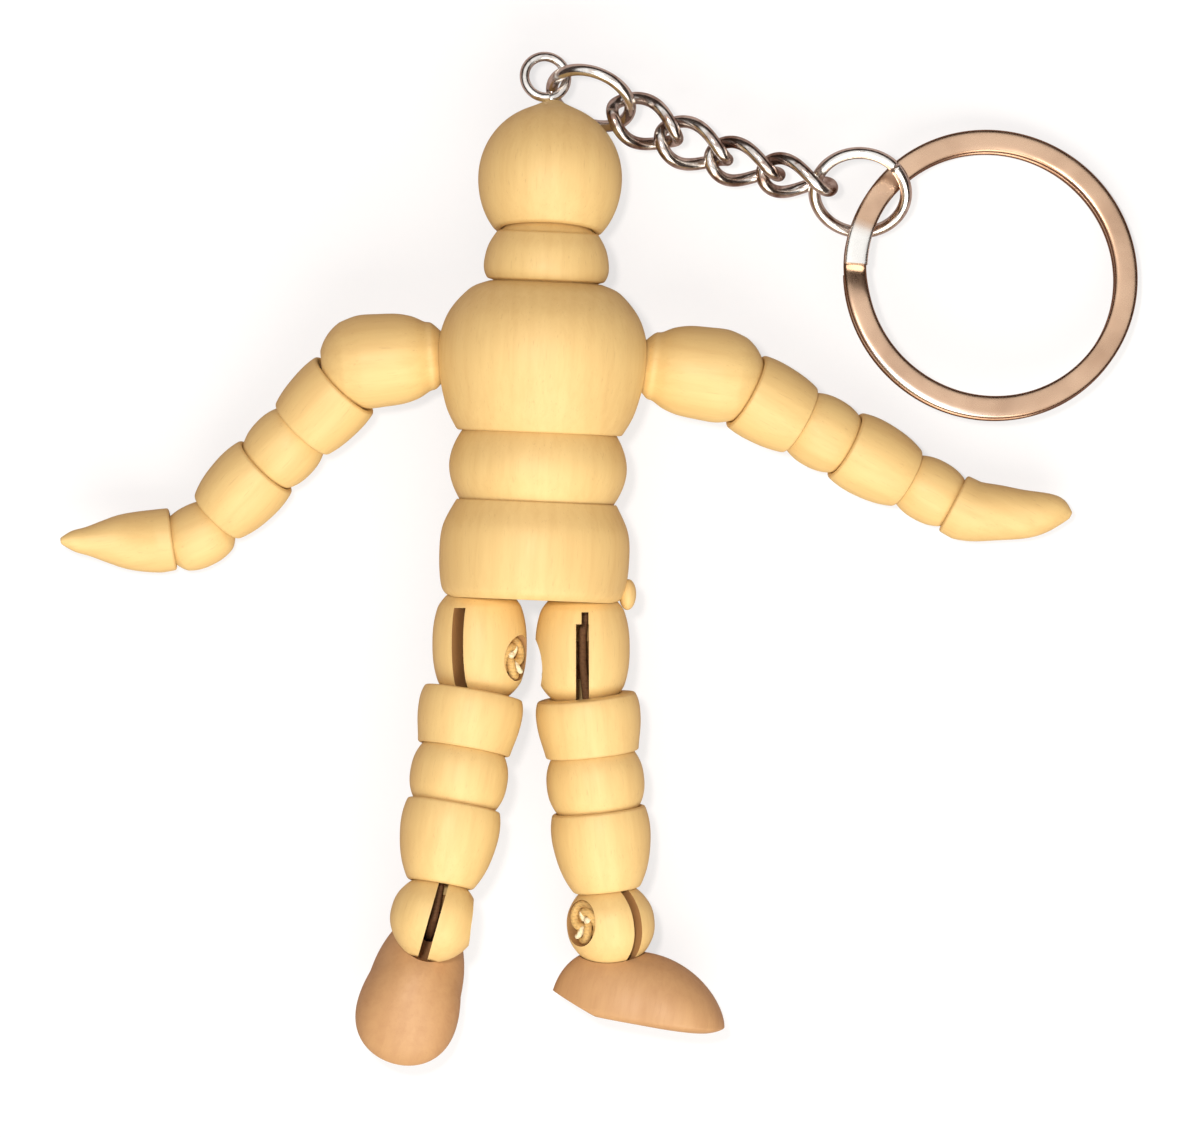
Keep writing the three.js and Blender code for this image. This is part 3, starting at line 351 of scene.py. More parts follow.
def heading(angle, rise=0.0):
    """Unit vector at an angle in the lying plane, tipped out of it by a rise."""
    a, r = np.radians([angle, rise])
    return np.array([np.cos(r) * np.cos(a), np.cos(r) * np.sin(a), np.sin(r)])


def turn(axis, angle):
    """Matrix of a turn about an axis."""
    i, j = (axis + 1) % 3, (axis + 2) % 3
    matrix = np.eye(3)
    matrix[i, i] = matrix[j, j] = np.cos(np.radians(angle))
    matrix[j, i] = np.sin(np.radians(angle))
    matrix[i, j] = -matrix[j, i]
    return matrix


def stand(origin, along, roll=0.0):
    """Place with Y along a direction, Z as near to up as can be, then rolled about Y."""
    y = along / np.linalg.norm(along)
    x = np.cross(y, UP)
    x /= np.linalg.norm(x)
    return Place(np.array(origin, float), np.stack([x, y, np.cross(x, y)], 1) @ turn(Y, roll))


def point(place, x, y, z):
    """A place's local point in the figure's frame."""
    return place.origin + place.basis @ np.array([x, y, z], float)


def shifted(place, along):
    """The same place moved along its own Y."""
    return Place(point(place, 0, along, 0), place.basis)


def figure_places(context):
    """Every piece's place, by node name, from the sizes and the photographed pose."""
    t, a, g, m = sizes(context)
    places = {
        "chest": FIGURE,
        "neck": shifted(FIGURE, t.neck_height),
        "waist": shifted(FIGURE, -t.waist_drop),
        "head": stand([0, t.neck_height + t.top, 0], heading(90, -HEAD_DROP)),
        "pelvis": shifted(FIGURE, -t.waist_drop - t.waist),
    }
    for name in SIDES:
        arm_places(places, name, a)
        leg_places(places, name, t, g)
    chain_places(places, t, m)
    return places


def seat_at(side, a):
    """A shoulder's seat, in the chest's frame."""
    return np.array([side * a.shoulder_out, -a.shoulder_drop, -a.shoulder_back])


def arm_places(places, name, a):
    """Adds one arm: each bead stands where the one before it ends, in the pose's direction."""
    pose = ARM_POSE[name]
    way, hand_way = heading(pose.arm, -ARM_DROP), heading(pose.hand, -HAND_DROP)
    shoulder = stand(seat_at(pose.side, a), heading(pose.shoulder))
    arm = stand(point(shoulder, 0, a.shoulder_span, 0), way)
    wrist = stand(point(arm, 0, a.upper_length + a.fore_length, 0), way + hand_way)
    places[f"{name}_shoulder"] = shoulder
    places[f"{name}_upper_arm"] = arm
    places[f"{name}_elbow"] = shifted(arm, a.upper_length)
    places[f"{name}_forearm"] = shifted(arm, a.upper_length + a.elbow)
    places[f"{name}_wrist"] = wrist
    places[f"{name}_hand"] = stand(point(wrist, 0, a.wrist, 0), hand_way, pose.roll)


def hip_at(side, t, g):
    """A hip's ball centre, in the pelvis's frame."""
    depth = math.sqrt(t.waist_dome**2 - t.waist_rim**2) * (t.waist_dome + t.joint_gap) / t.waist_dome
    return np.array([side * g.hip_out, -depth - t.pelvis_length - g.hip_below, 0])


def leg_places(places, name, t, g):
    """Adds one leg: thigh below the hip, then the leg in the pose's direction, then ankle and foot."""
    pose = LEG_POSE[name]
    thigh_way, way = heading(THIGH_HEADING), heading(pose.heading, pose.rise)
    ball_centre = point(places["pelvis"], *hip_at(pose.side, t, g)) + thigh_way * g.thigh_span
    ankle = ball_centre + way * (g.lower_length + g.calf_length)
    leg = stand(ankle, -way)
    ankle_way = heading(pose.ankle, pose.rise)
    flex, toe = FOOT_POSE[name]
    foot = stand(ankle, -ankle_way, toe)
    places[f"{name}_thigh"] = stand(ball_centre, -thigh_way, pose.thigh_slot)
    places[f"{name}_calf"] = leg
    places[f"{name}_knee"] = shifted(leg, g.calf_length)
    places[f"{name}_lower_thigh"] = shifted(leg, g.calf_length + g.knee)
    places[f"{name}_ankle"] = stand(ankle, -ankle_way, pose.ankle_slot)
    places[f"{name}_foot"] = Place(foot.origin, foot.basis @ turn(X, flex))


def chain_places(places, t, m):
    """Adds the eye, the chain and the rings: each piece starts inside the far end of the one before it."""
    head, lean = places["head"], heading(90 + EYE_LEAN)
    rise = lean * (m.eye_radius + m.eye_wire + t.joint_gap)
    eye = point(head, *(np.array([0, t.crown, 0]) + rise))
    places["screw_eye"] = Place(eye, head.basis @ stand([0, 0, 0], lean, EYE_ROLL).basis)
    names = ["jump_ring_head", *LINKS, "jump_ring_key"]
    halves = [m.first_ring, *[m.link_half] * len(LINKS), m.last_ring]
    wires = [m.ring_wire, *[m.link_wire] * len(LINKS), m.ring_wire]
    ways = [heading(angle, -CHAIN_DROP) for angle in CHAIN_HEADINGS]
    far, wire, slack = eye + ways[0] * m.eye_radius, m.eye_wire, m.eye_slack
    for name, half, own, way, roll in zip(names, halves, wires, ways, CHAIN_ROLLS):
        centre = far + way * (half - wire - own - slack)
        places[name] = stand(centre, way, roll)
        far, wire, slack = centre + way * half, own, m.link_slack
    way = heading(SPLIT_HEADING)
    overlap = m.ring_wire + m.split_band / 2 + m.split_slack
    centre = centre + way * (m.last_ring + m.split_radius - overlap) + UP * m.split_lift
    places["split_ring"] = stand(centre, way, SPLIT_ROLL)


def to_row(context, points):
    """Figure points in millimetres to row points in metres: the lean, then the frame's own origin."""
    t = sizes(context)[0]
    lean = turn(Z, -SPINE_LEAN)
    offset = PIVOTS["neck_turn"] - lean @ np.array([0, t.neck_height + t.base, 0])
    return (points @ lean.T + offset) * MM


# Profiles. A profile is a list of (radius, height) points that is turned about Y.
def arc(centre, radius, start, end, count=14):
    """Points on a circle about the axis, between two angles measured from +Y."""
    angle = np.linspace(start, end, count)
    return np.stack([radius * np.sin(angle), centre + radius * np.cos(angle)], 1)


def swell(start, end, belly, lean=1.0, power=2.4, count=24):
    """Straight line between two rims, plus a rise of one less a power of the distance from its middle.
    A lean above one carries the widest place toward the end."""
    s = np.linspace(0, 1, count)[1:-1, None]
    line = np.array(start) * (1 - s) + np.array(end) * s
    line[:, :1] += (belly - (start[0] + end[0]) / 2) * (1 - np.abs(2 * s**lean - 1) ** power)
    return line


def spline(points, count=40):
    """Smooth curve through points: cubic pieces whose slope at a point is half its neighbours' chord."""
    p = np.array(points, float)
    q = np.vstack([p[:1], p, p[-1:]])
    u = np.linspace(0, len(p) - 1, count)
    i = np.minimum(u.astype(int), len(p) - 2)
    w = (u - i)[:, None]
    a, b, c, d = (q[i + k] for k in range(4))
    square, cube = 2 * a - 5 * b + 4 * c - d, 3 * b - a - 3 * c + d
    return 0.5 * (2 * b + (c - a) * w + square * w**2 + cube * w**3)


def domed(low, high, belly, bore, lean=1.0, power=2.4, ledges=(0.0, 0.0)):
    """Closed profile of a bead with a dome at each end: dome, swelling side, dome, waisted cord hole.
    Each end is (dome radius, rim radius, dome centre, mouth radius). Ledges widen the side at its low
    and high ends."""
    top = arc(high[2], high[0], math.asin(high[3] / high[0]), math.asin(high[1] / high[0]))
    base = arc(low[2], low[0], math.pi - math.asin(low[1] / low[0]), math.pi - math.asin(low[3] / low[0]))
    throat = [[bore, (low[2] + high[2]) / 2]]
    foot = base[0] + ledges[0] * np.array([1, 0.2])
    brow = top[-1] + ledges[1] * np.array([1, -0.25])
    return np.vstack([top, [brow], swell(brow, foot, belly, lean, power), [foot], base, throat])


def even_bead(t, dome, rim, shift, belly, flare, power=2.4):
    """Profile of a bead with the same dome at both ends."""
    ends = [(dome, rim, centre, t.bore + flare) for centre in (-shift, shift)]
    return domed(*ends, belly, t.bore, power=power)


def cup(dome, rim_angle, t, lip=None):
    """Cup about a dome: radius, rim angle, bore angle, outer radius of its lip and depth of its rim."""
    radius, outer = dome + t.seam, dome + t.joint_gap
    lip = lip or outer * math.sin(rim_angle) + t.lip_wall
    return radius, rim_angle, math.asin(t.bore / radius), lip, outer * math.cos(rim_angle)


def rim_cup(dome, rim, t, lip=None):
    """Cup about a dome as far as the dome's rim."""
    return cup(dome, math.asin(rim / dome), t, lip)


def cupped(low, high, span, outline):
    """Closed profile of a bead with a cup at each end, from the ball centre at 0 to the one at span."""
    base = arc(0, low[0], low[2], low[1])
    top = arc(span, high[0], math.pi - high[1], math.pi - high[2])
    start, end = [low[3], low[4]], [high[3], span - high[4]]
    return np.vstack([base, [start], outline(start, end), [end], top])


def bellied(belly, lean=1.0):
    """Outline that swells to a belly."""
    return lambda start, end: swell(start, end, belly, lean)


def soften(profile, count, blur=0.13, closed=True):
    """Rounds a profile's corners. Points are laid evenly along it, averaged over a bell-shaped window, and
    then thinned so that they stand closest where the line turns most. Also gives how sharply it turns."""
    step, reach = 0.03, 14
    spacing, pull, contrast, least = 0.9, 3, 5, 0.15
    line = np.vstack([profile, profile[:1]]) if closed else np.array(profile, float)
    s = np.concatenate([[0], np.cumsum(np.linalg.norm(np.diff(line, axis=0), axis=1))])
    even = np.linspace(0, s[-1], int(s[-1] / step), endpoint=not closed)
    fine = np.stack([np.interp(even, s, line[:, k]) for k in (0, 1)], 1)
    flip = np.array([-1, 1])
    before = fine[-reach:] if closed else fine[reach:0:-1] * flip
    after = fine[:reach] if closed else fine[-2 : -reach - 2 : -1] * flip
    window = np.exp(-0.5 * (np.arange(-reach, reach + 1) * step / blur) ** 2)
    padded = np.vstack([before, fine, after])
    smooth = np.stack([np.convolve(padded[:, k], window / window.sum(), "valid") for k in (0, 1)], 1)
    smooth[:, 0] = np.maximum(smooth[:, 0], 0)
    way = np.gradient(smooth, axis=0)
    bend = np.abs(np.gradient(np.unwrap(np.arctan2(way[:, 1], way[:, 0]))))
    measure = np.cumsum(np.linalg.norm(way, axis=1) / spacing + bend * pull)
    pick = np.linspace(measure[0], measure[-1], count, endpoint=not closed)
    points = np.stack([np.interp(pick, measure, smooth[:, k]) for k in (0, 1)], 1)
    if not closed:
        points[[0, -1], 0] = 0
    return points, np.clip(np.interp(pick, measure, bend) * contrast - least, 0, 1)


# Surfaces. Each is a grid of local points that is closed along one or both of its ways.
def turned(profile, sides):
    """Profile carried round Y: the radius times the cosine and sine of the turn."""
    angle = np.linspace(0, 2 * np.pi, sides, endpoint=False)
    r, y = profile[:, :1], profile[:, 1:]
    return np.stack([r * np.cos(angle), y + 0 * angle, r * np.sin(angle)], -1)


def ball(centre, radius, rows=36, sides=64):
    """Sphere: a half circle carried round Y."""
    angle = np.linspace(0, np.pi, rows)
    half = np.stack([radius * np.sin(angle), radius * np.cos(angle)], 1)
    half[[0, -1], 0] = 0
    return turned(half, sides) + np.array(centre, float)


def rod(start, end, radius, sides=48):
    """Cylinder between two points: a circle square to the line, drawn in to a point at both ends."""
    start, end = np.array(start, float), np.array(end, float)
    return swept(np.array([start, start, end, end]), np.array([0, radius, radius, 0]), sides)


def slab(low, high):
    """Box between two corners: a square of four corners, drawn in to a point at both ends."""
    low, high = np.array(low, float), np.array(high, float)
    middle, half = (low + high) / 2, (high - low) / 2
    corner = np.array([[-1, -1], [1, -1], [1, 1], [-1, 1]])
    ring = lambda y, size: middle + np.array([[x * size, y, z * size] for x, z in corner]) * half
    return np.stack([ring(-1, 0), ring(-1, 1), ring(1, 1), ring(1, 0)])


def frames_along(path, closed):
    """Tangents, and two normals that turn as little as they can along a path, with any leftover twist
    spread out."""
    if closed:
        tangent = np.roll(path, -1, 0) - np.roll(path, 1, 0)
    else:
        tangent = np.gradient(path, axis=0)
    size = np.linalg.norm(tangent, axis=1, keepdims=True)
    good = size[:, 0] > 1e-9
    index = np.maximum.accumulate(np.where(good, np.arange(len(path)), np.argmax(good)))
    tangent = tangent[index] / size[index]
    first = np.cross(tangent[0], ASLANT)
    normals = [first / np.linalg.norm(first)]
    for t in tangent[1:]:
        n = normals[-1] - t * (normals[-1] @ t)
        normals.append(n / np.linalg.norm(n))
    normal = np.array(normals)
    if closed:
        back = normal[-1] - tangent[0] * (normal[-1] @ tangent[0])
        twist = np.arctan2(np.cross(back, normal[0]) @ tangent[0], back @ normal[0])
        angle = np.linspace(0, twist, len(path))[:, None]
        normal = normal * np.cos(angle) + np.cross(tangent, normal) * np.sin(angle)
    return tangent, normal, np.cross(tangent, normal)


def swept(path, radius, sides, closed=False):
    """Circle carried along a path: each point plus the radius times the cosine of one normal and the sine of
    the other."""
    _, n, b = frames_along(path, closed)
    angle = np.linspace(0, 2 * np.pi, sides, endpoint=False)
    r = np.broadcast_to(np.asarray(radius, float), (len(path),))[:, None, None]
    ring = n[:, None] * np.cos(angle)[:, None] + b[:, None] * np.sin(angle)[:, None]
    return path[:, None] + r * ring


def capsule(path, radius, sides=20, steps=8, apart=0.35):
    """Tube along a path with half-ball ends: the radius follows a quarter circle at either end."""
    path = np.array(path, float)
    s = np.concatenate([[0], np.cumsum(np.linalg.norm(np.diff(path, axis=0), axis=1))])
    bend = np.linspace(0, np.pi / 2, steps)
    head, tail = -radius * np.cos(bend), s[-1] + radius * np.sin(bend)
    middle = np.linspace(0, s[-1], max(4, int(s[-1] / apart)))[1:-1]
    at = np.concatenate([head, middle, tail])
    line = np.stack([np.interp(at, s, path[:, k]) for k in range(3)], 1)
    ends = [path[0] - path[1], path[-1] - path[-2]]
    line += np.minimum(at, 0)[:, None] * -ends[0] / np.linalg.norm(ends[0])
    line += np.maximum(at - s[-1], 0)[:, None] * ends[1] / np.linalg.norm(ends[1])
    size = np.concatenate([radius * np.sin(bend), radius + 0 * middle, radius * np.cos(bend)])
    size[[0, -1]] = 0
    return swept(line, size, sides)


def quads(rows, columns, wrap):
    """Corner numbers of a grid's four-sided faces, joined round each way that wraps."""
    i = np.arange(rows if wrap[0] else rows - 1)[:, None]
    j = np.arange(columns if wrap[1] else columns - 1)[None]
    i2, j2 = (i + 1) % rows, (j + 1) % columns
    near, far = i * columns, i2 * columns
    return np.stack([near + j, near + j2, far + j2, far + j], -1).reshape(-1, 4)


def seed_of(node):
    """Number that sets a node's grain apart from the others'."""
    return sum(map(ord, node))


def make_mesh(context, name, place, grids, wrap=(False, True), shade=0.0, rim=0.0, cut=0.0, seed=0):
    """Mesh of one or more grids at a place, its faces turned outward by the sign of the volume they hold.
    Attributes go with it: bead, the local point in millimetres; shade, painted shade, 0 outside and 1 in a
    bore; rim, 1 along a turned edge, where the wood gets painted shade and the split ring a painted
    highlight; and cut, the depth of colour on a face that a cut leaves, raw wood with painted shade."""
    grids = grids if isinstance(grids, list) else [grids]
    local, faces, count = [], [], 0
    for grid in grids:
        flat = grid.reshape(-1, 3)
        corner = quads(grid.shape[0], grid.shape[1], wrap)
        a, b, c, d = (flat[corner[:, k]] for k in range(4))
        volume = np.sum(a * (np.cross(b, c) + np.cross(c, d)))
        faces.append((corner if volume > 0 else corner[:, ::-1]) + count)
        local.append(flat)
        count += len(flat)
    local, faces = np.vstack(local), np.vstack(faces)
    world = to_row(context, place.origin + local @ place.basis.T)
    mesh = bpy.data.meshes.new(name)
    mesh.from_pydata(world.tolist(), [], faces.tolist())
    bead = local + GRAIN_STEP * np.array([seed % cycle for cycle in GRAIN_CYCLES])
    vectors = mesh.attributes.new("bead", "FLOAT_VECTOR", "POINT")
    vectors.data.foreach_set("vector", bead.astype(np.float32).ravel())
    for label, value in (("shade", shade), ("rim", rim)):
        spread = np.broadcast_to(np.asarray(value, float), (count,)).astype(np.float32)
        mesh.attributes.new(label, "FLOAT", "POINT").data.foreach_set("value", np.ascontiguousarray(spread))
    depth = np.full(len(faces), cut, np.float32)
    mesh.attributes.new("cut", "FLOAT", "FACE").data.foreach_set("value", depth)
    joined = bmesh.new()
    joined.from_mesh(mesh)
    bmesh.ops.remove_doubles(joined, verts=joined.verts, dist=SAME_POINT)
    joined.to_mesh(mesh)
    joined.free()
    mesh.polygons.foreach_set("use_smooth", np.ones(len(mesh.polygons), bool))
    return mesh


def make_object(context, name, mesh):
    """Object in the scene, at the origin."""
    piece = bpy.data.objects.new(name, mesh)
    context.scene.collection.objects.link(piece)
    return piece


def make_piece(context, name, place, grids, **attributes):
    """Object of one or more grids at a place."""
    return make_object(context, name, make_mesh(context, name, place, grids, **attributes))


def carve(context, piece, place, cutters, seed=0):
    """Cuts grids out of a piece. Each comes with the depth of colour of its walls at their mouth, raw wood
    with painted shade; the cutters' own points carry full painted shade, so the walls darken deeper in.
    """
    for i, (grid, depth) in enumerate(cutters):
        tool = make_piece(context, f"{piece.name}_cut_{i}", place, grid, shade=1.0, cut=depth, seed=seed)
        cut = piece.modifiers.new("cut", "BOOLEAN")
        cut.operation, cut.solver, cut.object = "DIFFERENCE", "EXACT", tool
        context.view_layer.update()
        done = bpy.data.meshes.new_from_object(piece.evaluated_get(context.evaluated_depsgraph_get()))
        if len(done.polygons) < FEWEST_FACES:
            raise RuntimeError(f"{piece.name} lost its faces in cut {i}")
        piece.modifiers.clear()
        piece.data = done
        bpy.data.objects.remove(tool)
    piece.data.polygons.foreach_set("use_smooth", np.ones(len(piece.data.polygons), bool))
    piece.data.set_sharp_from_angle(angle=math.radians(CUT_EDGE))


def settle(piece, body, finish, slot, *nodes):
    """Gives a piece its finish, its body and the nodes that it stands for; its slot in the record is not
    used.
    """
    piece.data.materials.clear()
    piece.data.materials.append(finish)
    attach(piece, body)
    if nodes:
        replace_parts(piece, *nodes)
    return piece


# Finishes
def add(tree, kind, inputs=None, **settings):
    """Node with its settings and its inputs: a socket is linked, anything else is set."""
    made = tree.nodes.new(kind)
    for key, value in settings.items():
        setattr(made, key, value)
    for key, value in (inputs or {}).items():
        if isinstance(value, bpy.types.NodeSocket):
            tree.links.new(value, made.inputs[key])
        else:
            made.inputs[key].default_value = value
    return made


def new_finish(name):
    """Material with one shader, and its node tree."""
    material = bpy.data.materials.get(name) or bpy.data.materials.new(name)
    material.use_nodes = True
    tree = material.node_tree
    tree.nodes.clear()
    shader = tree.nodes.new("ShaderNodeBsdfPrincipled")
    output = tree.nodes.new("ShaderNodeOutputMaterial")
    tree.links.new(shader.outputs[0], output.inputs[0])
    return material, tree, shader


def attribute(tree, name, output="Fac"):
    """Socket of one of the mesh's attributes."""
    return add(tree, "ShaderNodeAttribute", attribute_name=name).outputs[output]


def noise(tree, vector, scale, detail=4.0, rough=0.55, bent=0.0):
    """Socket of a noise pattern."""
    inputs = {"Vector": vector, "Scale": scale, "Detail": detail, "Roughness": rough, "Distortion": bent}
    return add(tree, "ShaderNodeTexNoise", inputs).outputs["Fac"]


def stretch(tree, vector, *scale):
    """Socket of a vector that is scaled along each axis."""
    return add(tree, "ShaderNodeMapping", {"Vector": vector, "Scale": scale}).outputs[0]


def span(tree, value, low, high, new_low=0.0, new_high=1.0):
    """Socket of a value carried from one span to another, and held inside it."""
    inputs = {"Value": value, "From Min": low, "From Max": high, "To Min": new_low, "To Max": new_high}
    return add(tree, "ShaderNodeMapRange", inputs).outputs[0]


def math_of(tree, operation, a, b):
    """Socket of one sum."""
    return add(tree, "ShaderNodeMath", {0: a, 1: b}, operation=operation).outputs[0]


def blend_of(tree, share, a, b):
    """Socket of two colours mixed by a share."""
    made = add(tree, "ShaderNodeMix", {0: share}, data_type="RGBA")
    for index, colour in ((6, a), (7, b)):
        if isinstance(colour, bpy.types.NodeSocket):
            tree.links.new(colour, made.inputs[index])
        else:
            made.inputs[index].default_value = (*colour, 1.0)
    return made.outputs[2]


def bump(tree, height, distance, strength=1.0, normal=None):
    """Socket of a normal that a height has roughened."""
    inputs = {"Height": height, "Distance": distance, "Strength": strength}
    if normal is not None:
        inputs["Normal"] = normal
    return add(tree, "ShaderNodeBump", inputs).outputs[0]


def wood_finish(name, pale, grain, colours):
    """Lacquered close-grained wood. Fine streaks and wide year rings run along each bead, with short dark
    pores, painted shade on the rims, and raw brown wood with painted shade in the bores, cuts and dents."""
    _, tree, shader = new_finish(name)
    bead = attribute(tree, "bead", "Vector")
    streak = noise(tree, stretch(tree, bead, 1.0, 0.07, 1.0), 1.5, 6.0, 0.62, 0.5)
    across = stretch(tree, bead, 1.0, 0.05, 0.45)
    bands = {"Vector": across, "Scale": 0.16, "Distortion": 5.0, "Detail": 3.0, "Detail Scale": 0.6}
    wave = add(tree, "ShaderNodeTexWave", bands, wave_type="BANDS", bands_direction="X")
    pores = span(tree, noise(tree, stretch(tree, bead, 1.0, 0.045, 1.0), 7.0, 2.0), 0.63, 0.74)
    cloud = noise(tree, bead, 0.11, 2.0)
    streaks = span(tree, streak, 0.42, 0.72, 0.0, 0.24)
    rings = span(tree, wave.outputs["Fac"], 0.35, 1.0, 0.0, 0.12)
    share = math_of(tree, "ADD", streaks, rings)
    share = math_of(tree, "ADD", share, span(tree, cloud, 0.35, 0.7, 0.0, 0.22))
    colour = blend_of(tree, share, pale, grain)
    colour = blend_of(tree, math_of(tree, "MULTIPLY", pores, 0.22), colour, colours.seam)
    # Painted shade along the rims and the seams between beads
    colour = blend_of(tree, math_of(tree, "MULTIPLY", attribute(tree, "rim"), 0.4), colour, colours.seam)
    # Raw wood in bores, cuts and dents, with painted shade that deepens inward
    hollow_shade = math_of(tree, "MAXIMUM", attribute(tree, "shade"), attribute(tree, "cut"))
    colour = blend_of(tree, hollow_shade, colour, colours.bare_wood_and_shade)
    tree.links.new(colour, shader.inputs["Base Color"])
    tree.links.new(span(tree, streak, 0.3, 0.75, 0.5, 0.64), shader.inputs["Roughness"])
    normal = bump(tree, streak, 0.00004, 0.5)
    tree.links.new(bump(tree, pores, 0.00003, -0.6, normal), shader.inputs["Normal"])
    shader.inputs["Coat Weight"].default_value = 0.1
    shader.inputs["Coat Roughness"].default_value = 0.4


def cord_finish(name, colour, loose):
    """Braided elastic: two sets of strands that wind opposite ways round the cord, with loose fibres."""
    _, tree, shader = new_finish(name)
    bead = attribute(tree, "bead", "Vector")
    fibre = noise(tree, stretch(tree, bead, 3.0, 3.0, 3.0), 2.2, 5.0, 0.7)
    wound = {"Vector": bead, "Scale": 0.9, "Distortion": 1.2}
    weave = [add(tree, "ShaderNodeTexWave", wound, bands_direction=way) for way in ("DIAGONAL", "Y")]
    strands = math_of(tree, "MAXIMUM", weave[0].outputs["Fac"], weave[1].outputs["Fac"])
    dark = tuple(0.8 * c for c in colour)
    colour = blend_of(tree, span(tree, strands, 0.2, 0.9), dark, colour)
    colour = blend_of(tree, span(tree, fibre, 0.5, 0.8, 0.0, 0.3), colour, loose)
    tree.links.new(colour, shader.inputs["Base Color"])
    tree.links.new(span(tree, fibre, 0.3, 0.7, 0.65, 0.9), shader.inputs["Roughness"])
    normal = bump(tree, strands, 0.00003, 0.6)
    tree.links.new(bump(tree, fibre, 0.00005, 0.6, normal), shader.inputs["Normal"])


def metal_finish(name, bright, dark, reflection_span, size, rubbed, rough):
    """Polished plate: bright metal with a darker painted reflection in patches, fine rubbing marks, painted
    shade where the shade attribute says so, uneven gloss and a painted silver highlight where the rim
    attribute says so. The reflection's span and rough are spans, and rubbed is the marks' stretch."""
    _, tree, shader = new_finish(name)
    bead = attribute(tree, "bead", "Vector")
    # Painted reflection: broad patches of the darker colour
    reflection_patch = noise(tree, bead, size, 3.0, 0.6, 0.4)
    rub = noise(tree, stretch(tree, bead, *rubbed), 2.5, 4.0, 0.6)
    share = math_of(tree, "ADD", span(tree, reflection_patch, *reflection_span), span(tree, rub, 0.45, 0.8, 0.0, 0.1))
    # Painted shade where the shade attribute says so
    share = math_of(tree, "ADD", share, math_of(tree, "MULTIPLY", attribute(tree, "shade"), 0.9))
    colour = blend_of(tree, share, bright, dark)
    # Painted silver highlight where the rim attribute says so
    colour = blend_of(tree, attribute(tree, "rim"), colour, GLINT_SILVER)
    tree.links.new(colour, shader.inputs["Base Color"])
    tree.links.new(span(tree, rub, 0.3, 0.8, *rough), shader.inputs["Roughness"])
    tree.links.new(bump(tree, rub, 0.00001, 0.5), shader.inputs["Normal"])
    shader.inputs["Metallic"].default_value = 1.0


def finishes(context):
    """The figure's finishes, made once."""
    group, made = context.scene.finishes, bpy.data.materials
    c = SimpleNamespace(**{key: tuple(getattr(group, key)) for key in group.__annotations__})
    even, gloss = (1.0, 1.0, 1.0), (0.14, 0.28)
    if "lacquered_wood" not in made:
        wood_finish("lacquered_wood", c.pale_wood, c.warm_wood, c)
        # The feet get the darker copy of the wood, as painted shade
        wood_finish("foot_wood", c.foot_wood, c.foot_grain, c)
        # Cord inside the beads: the knots' cord darkened as painted shade
        cord_finish("braided_elastic", c.cord, c.knot)
        cord_finish("knotted_elastic", c.knot, c.frayed)
        cord_finish("frayed_elastic", c.frayed, c.frayed)
        # Both chain finishes carry painted brown reflection in patches, the links more of it
        metal_finish("nickel_plate", c.nickel, c.brown_reflection, (0.5, 0.8), 0.55, even, gloss)
        metal_finish("browned_nickel", c.nickel, c.brown_reflection, (0.36, 0.66), 0.55, even, gloss)
        worn = (0.25, 0.25, 0.6)
        # Split ring: painted reflection in broad patches
        metal_finish("copper_plate", c.copper, c.copper_reflection_and_shade, (0.42, 0.95), 0.09, worn, (0.22, 0.34))
    return SimpleNamespace(
        wood=made["lacquered_wood"],
        foot=made["foot_wood"],
        cord=made["braided_elastic"],
        knot=made["knotted_elastic"],
        frayed=made["frayed_elastic"],
        nickel=made["nickel_plate"],
        links=made["browned_nickel"],
        copper=made["copper_plate"],
    )


def turn_bead(context, node, place, profile, closed, bore, sides=LIMB_SIDES, rows=LIMB_ROWS, bent=None):
    """One turned bead as an object, with its bore marked as shaded."""
    line, edge = soften(profile, rows, closed=closed)
    grid = turned(line, sides)
    if bent is not None:
        grid = bent(grid)
    shade = np.clip((bore * BORE_REACH - line[:, 0]) / bore, 0, 1)
    if not closed:
        shade[np.argmax(line[:, 0]) :] = 0
    return make_piece(
        context,
        f"{node}_turned",
        place,
        grid,
        wrap=(closed, True),
        shade=np.repeat(shade, sides),
        rim=np.repeat(edge, sides),
        seed=seed_of(node),
    )


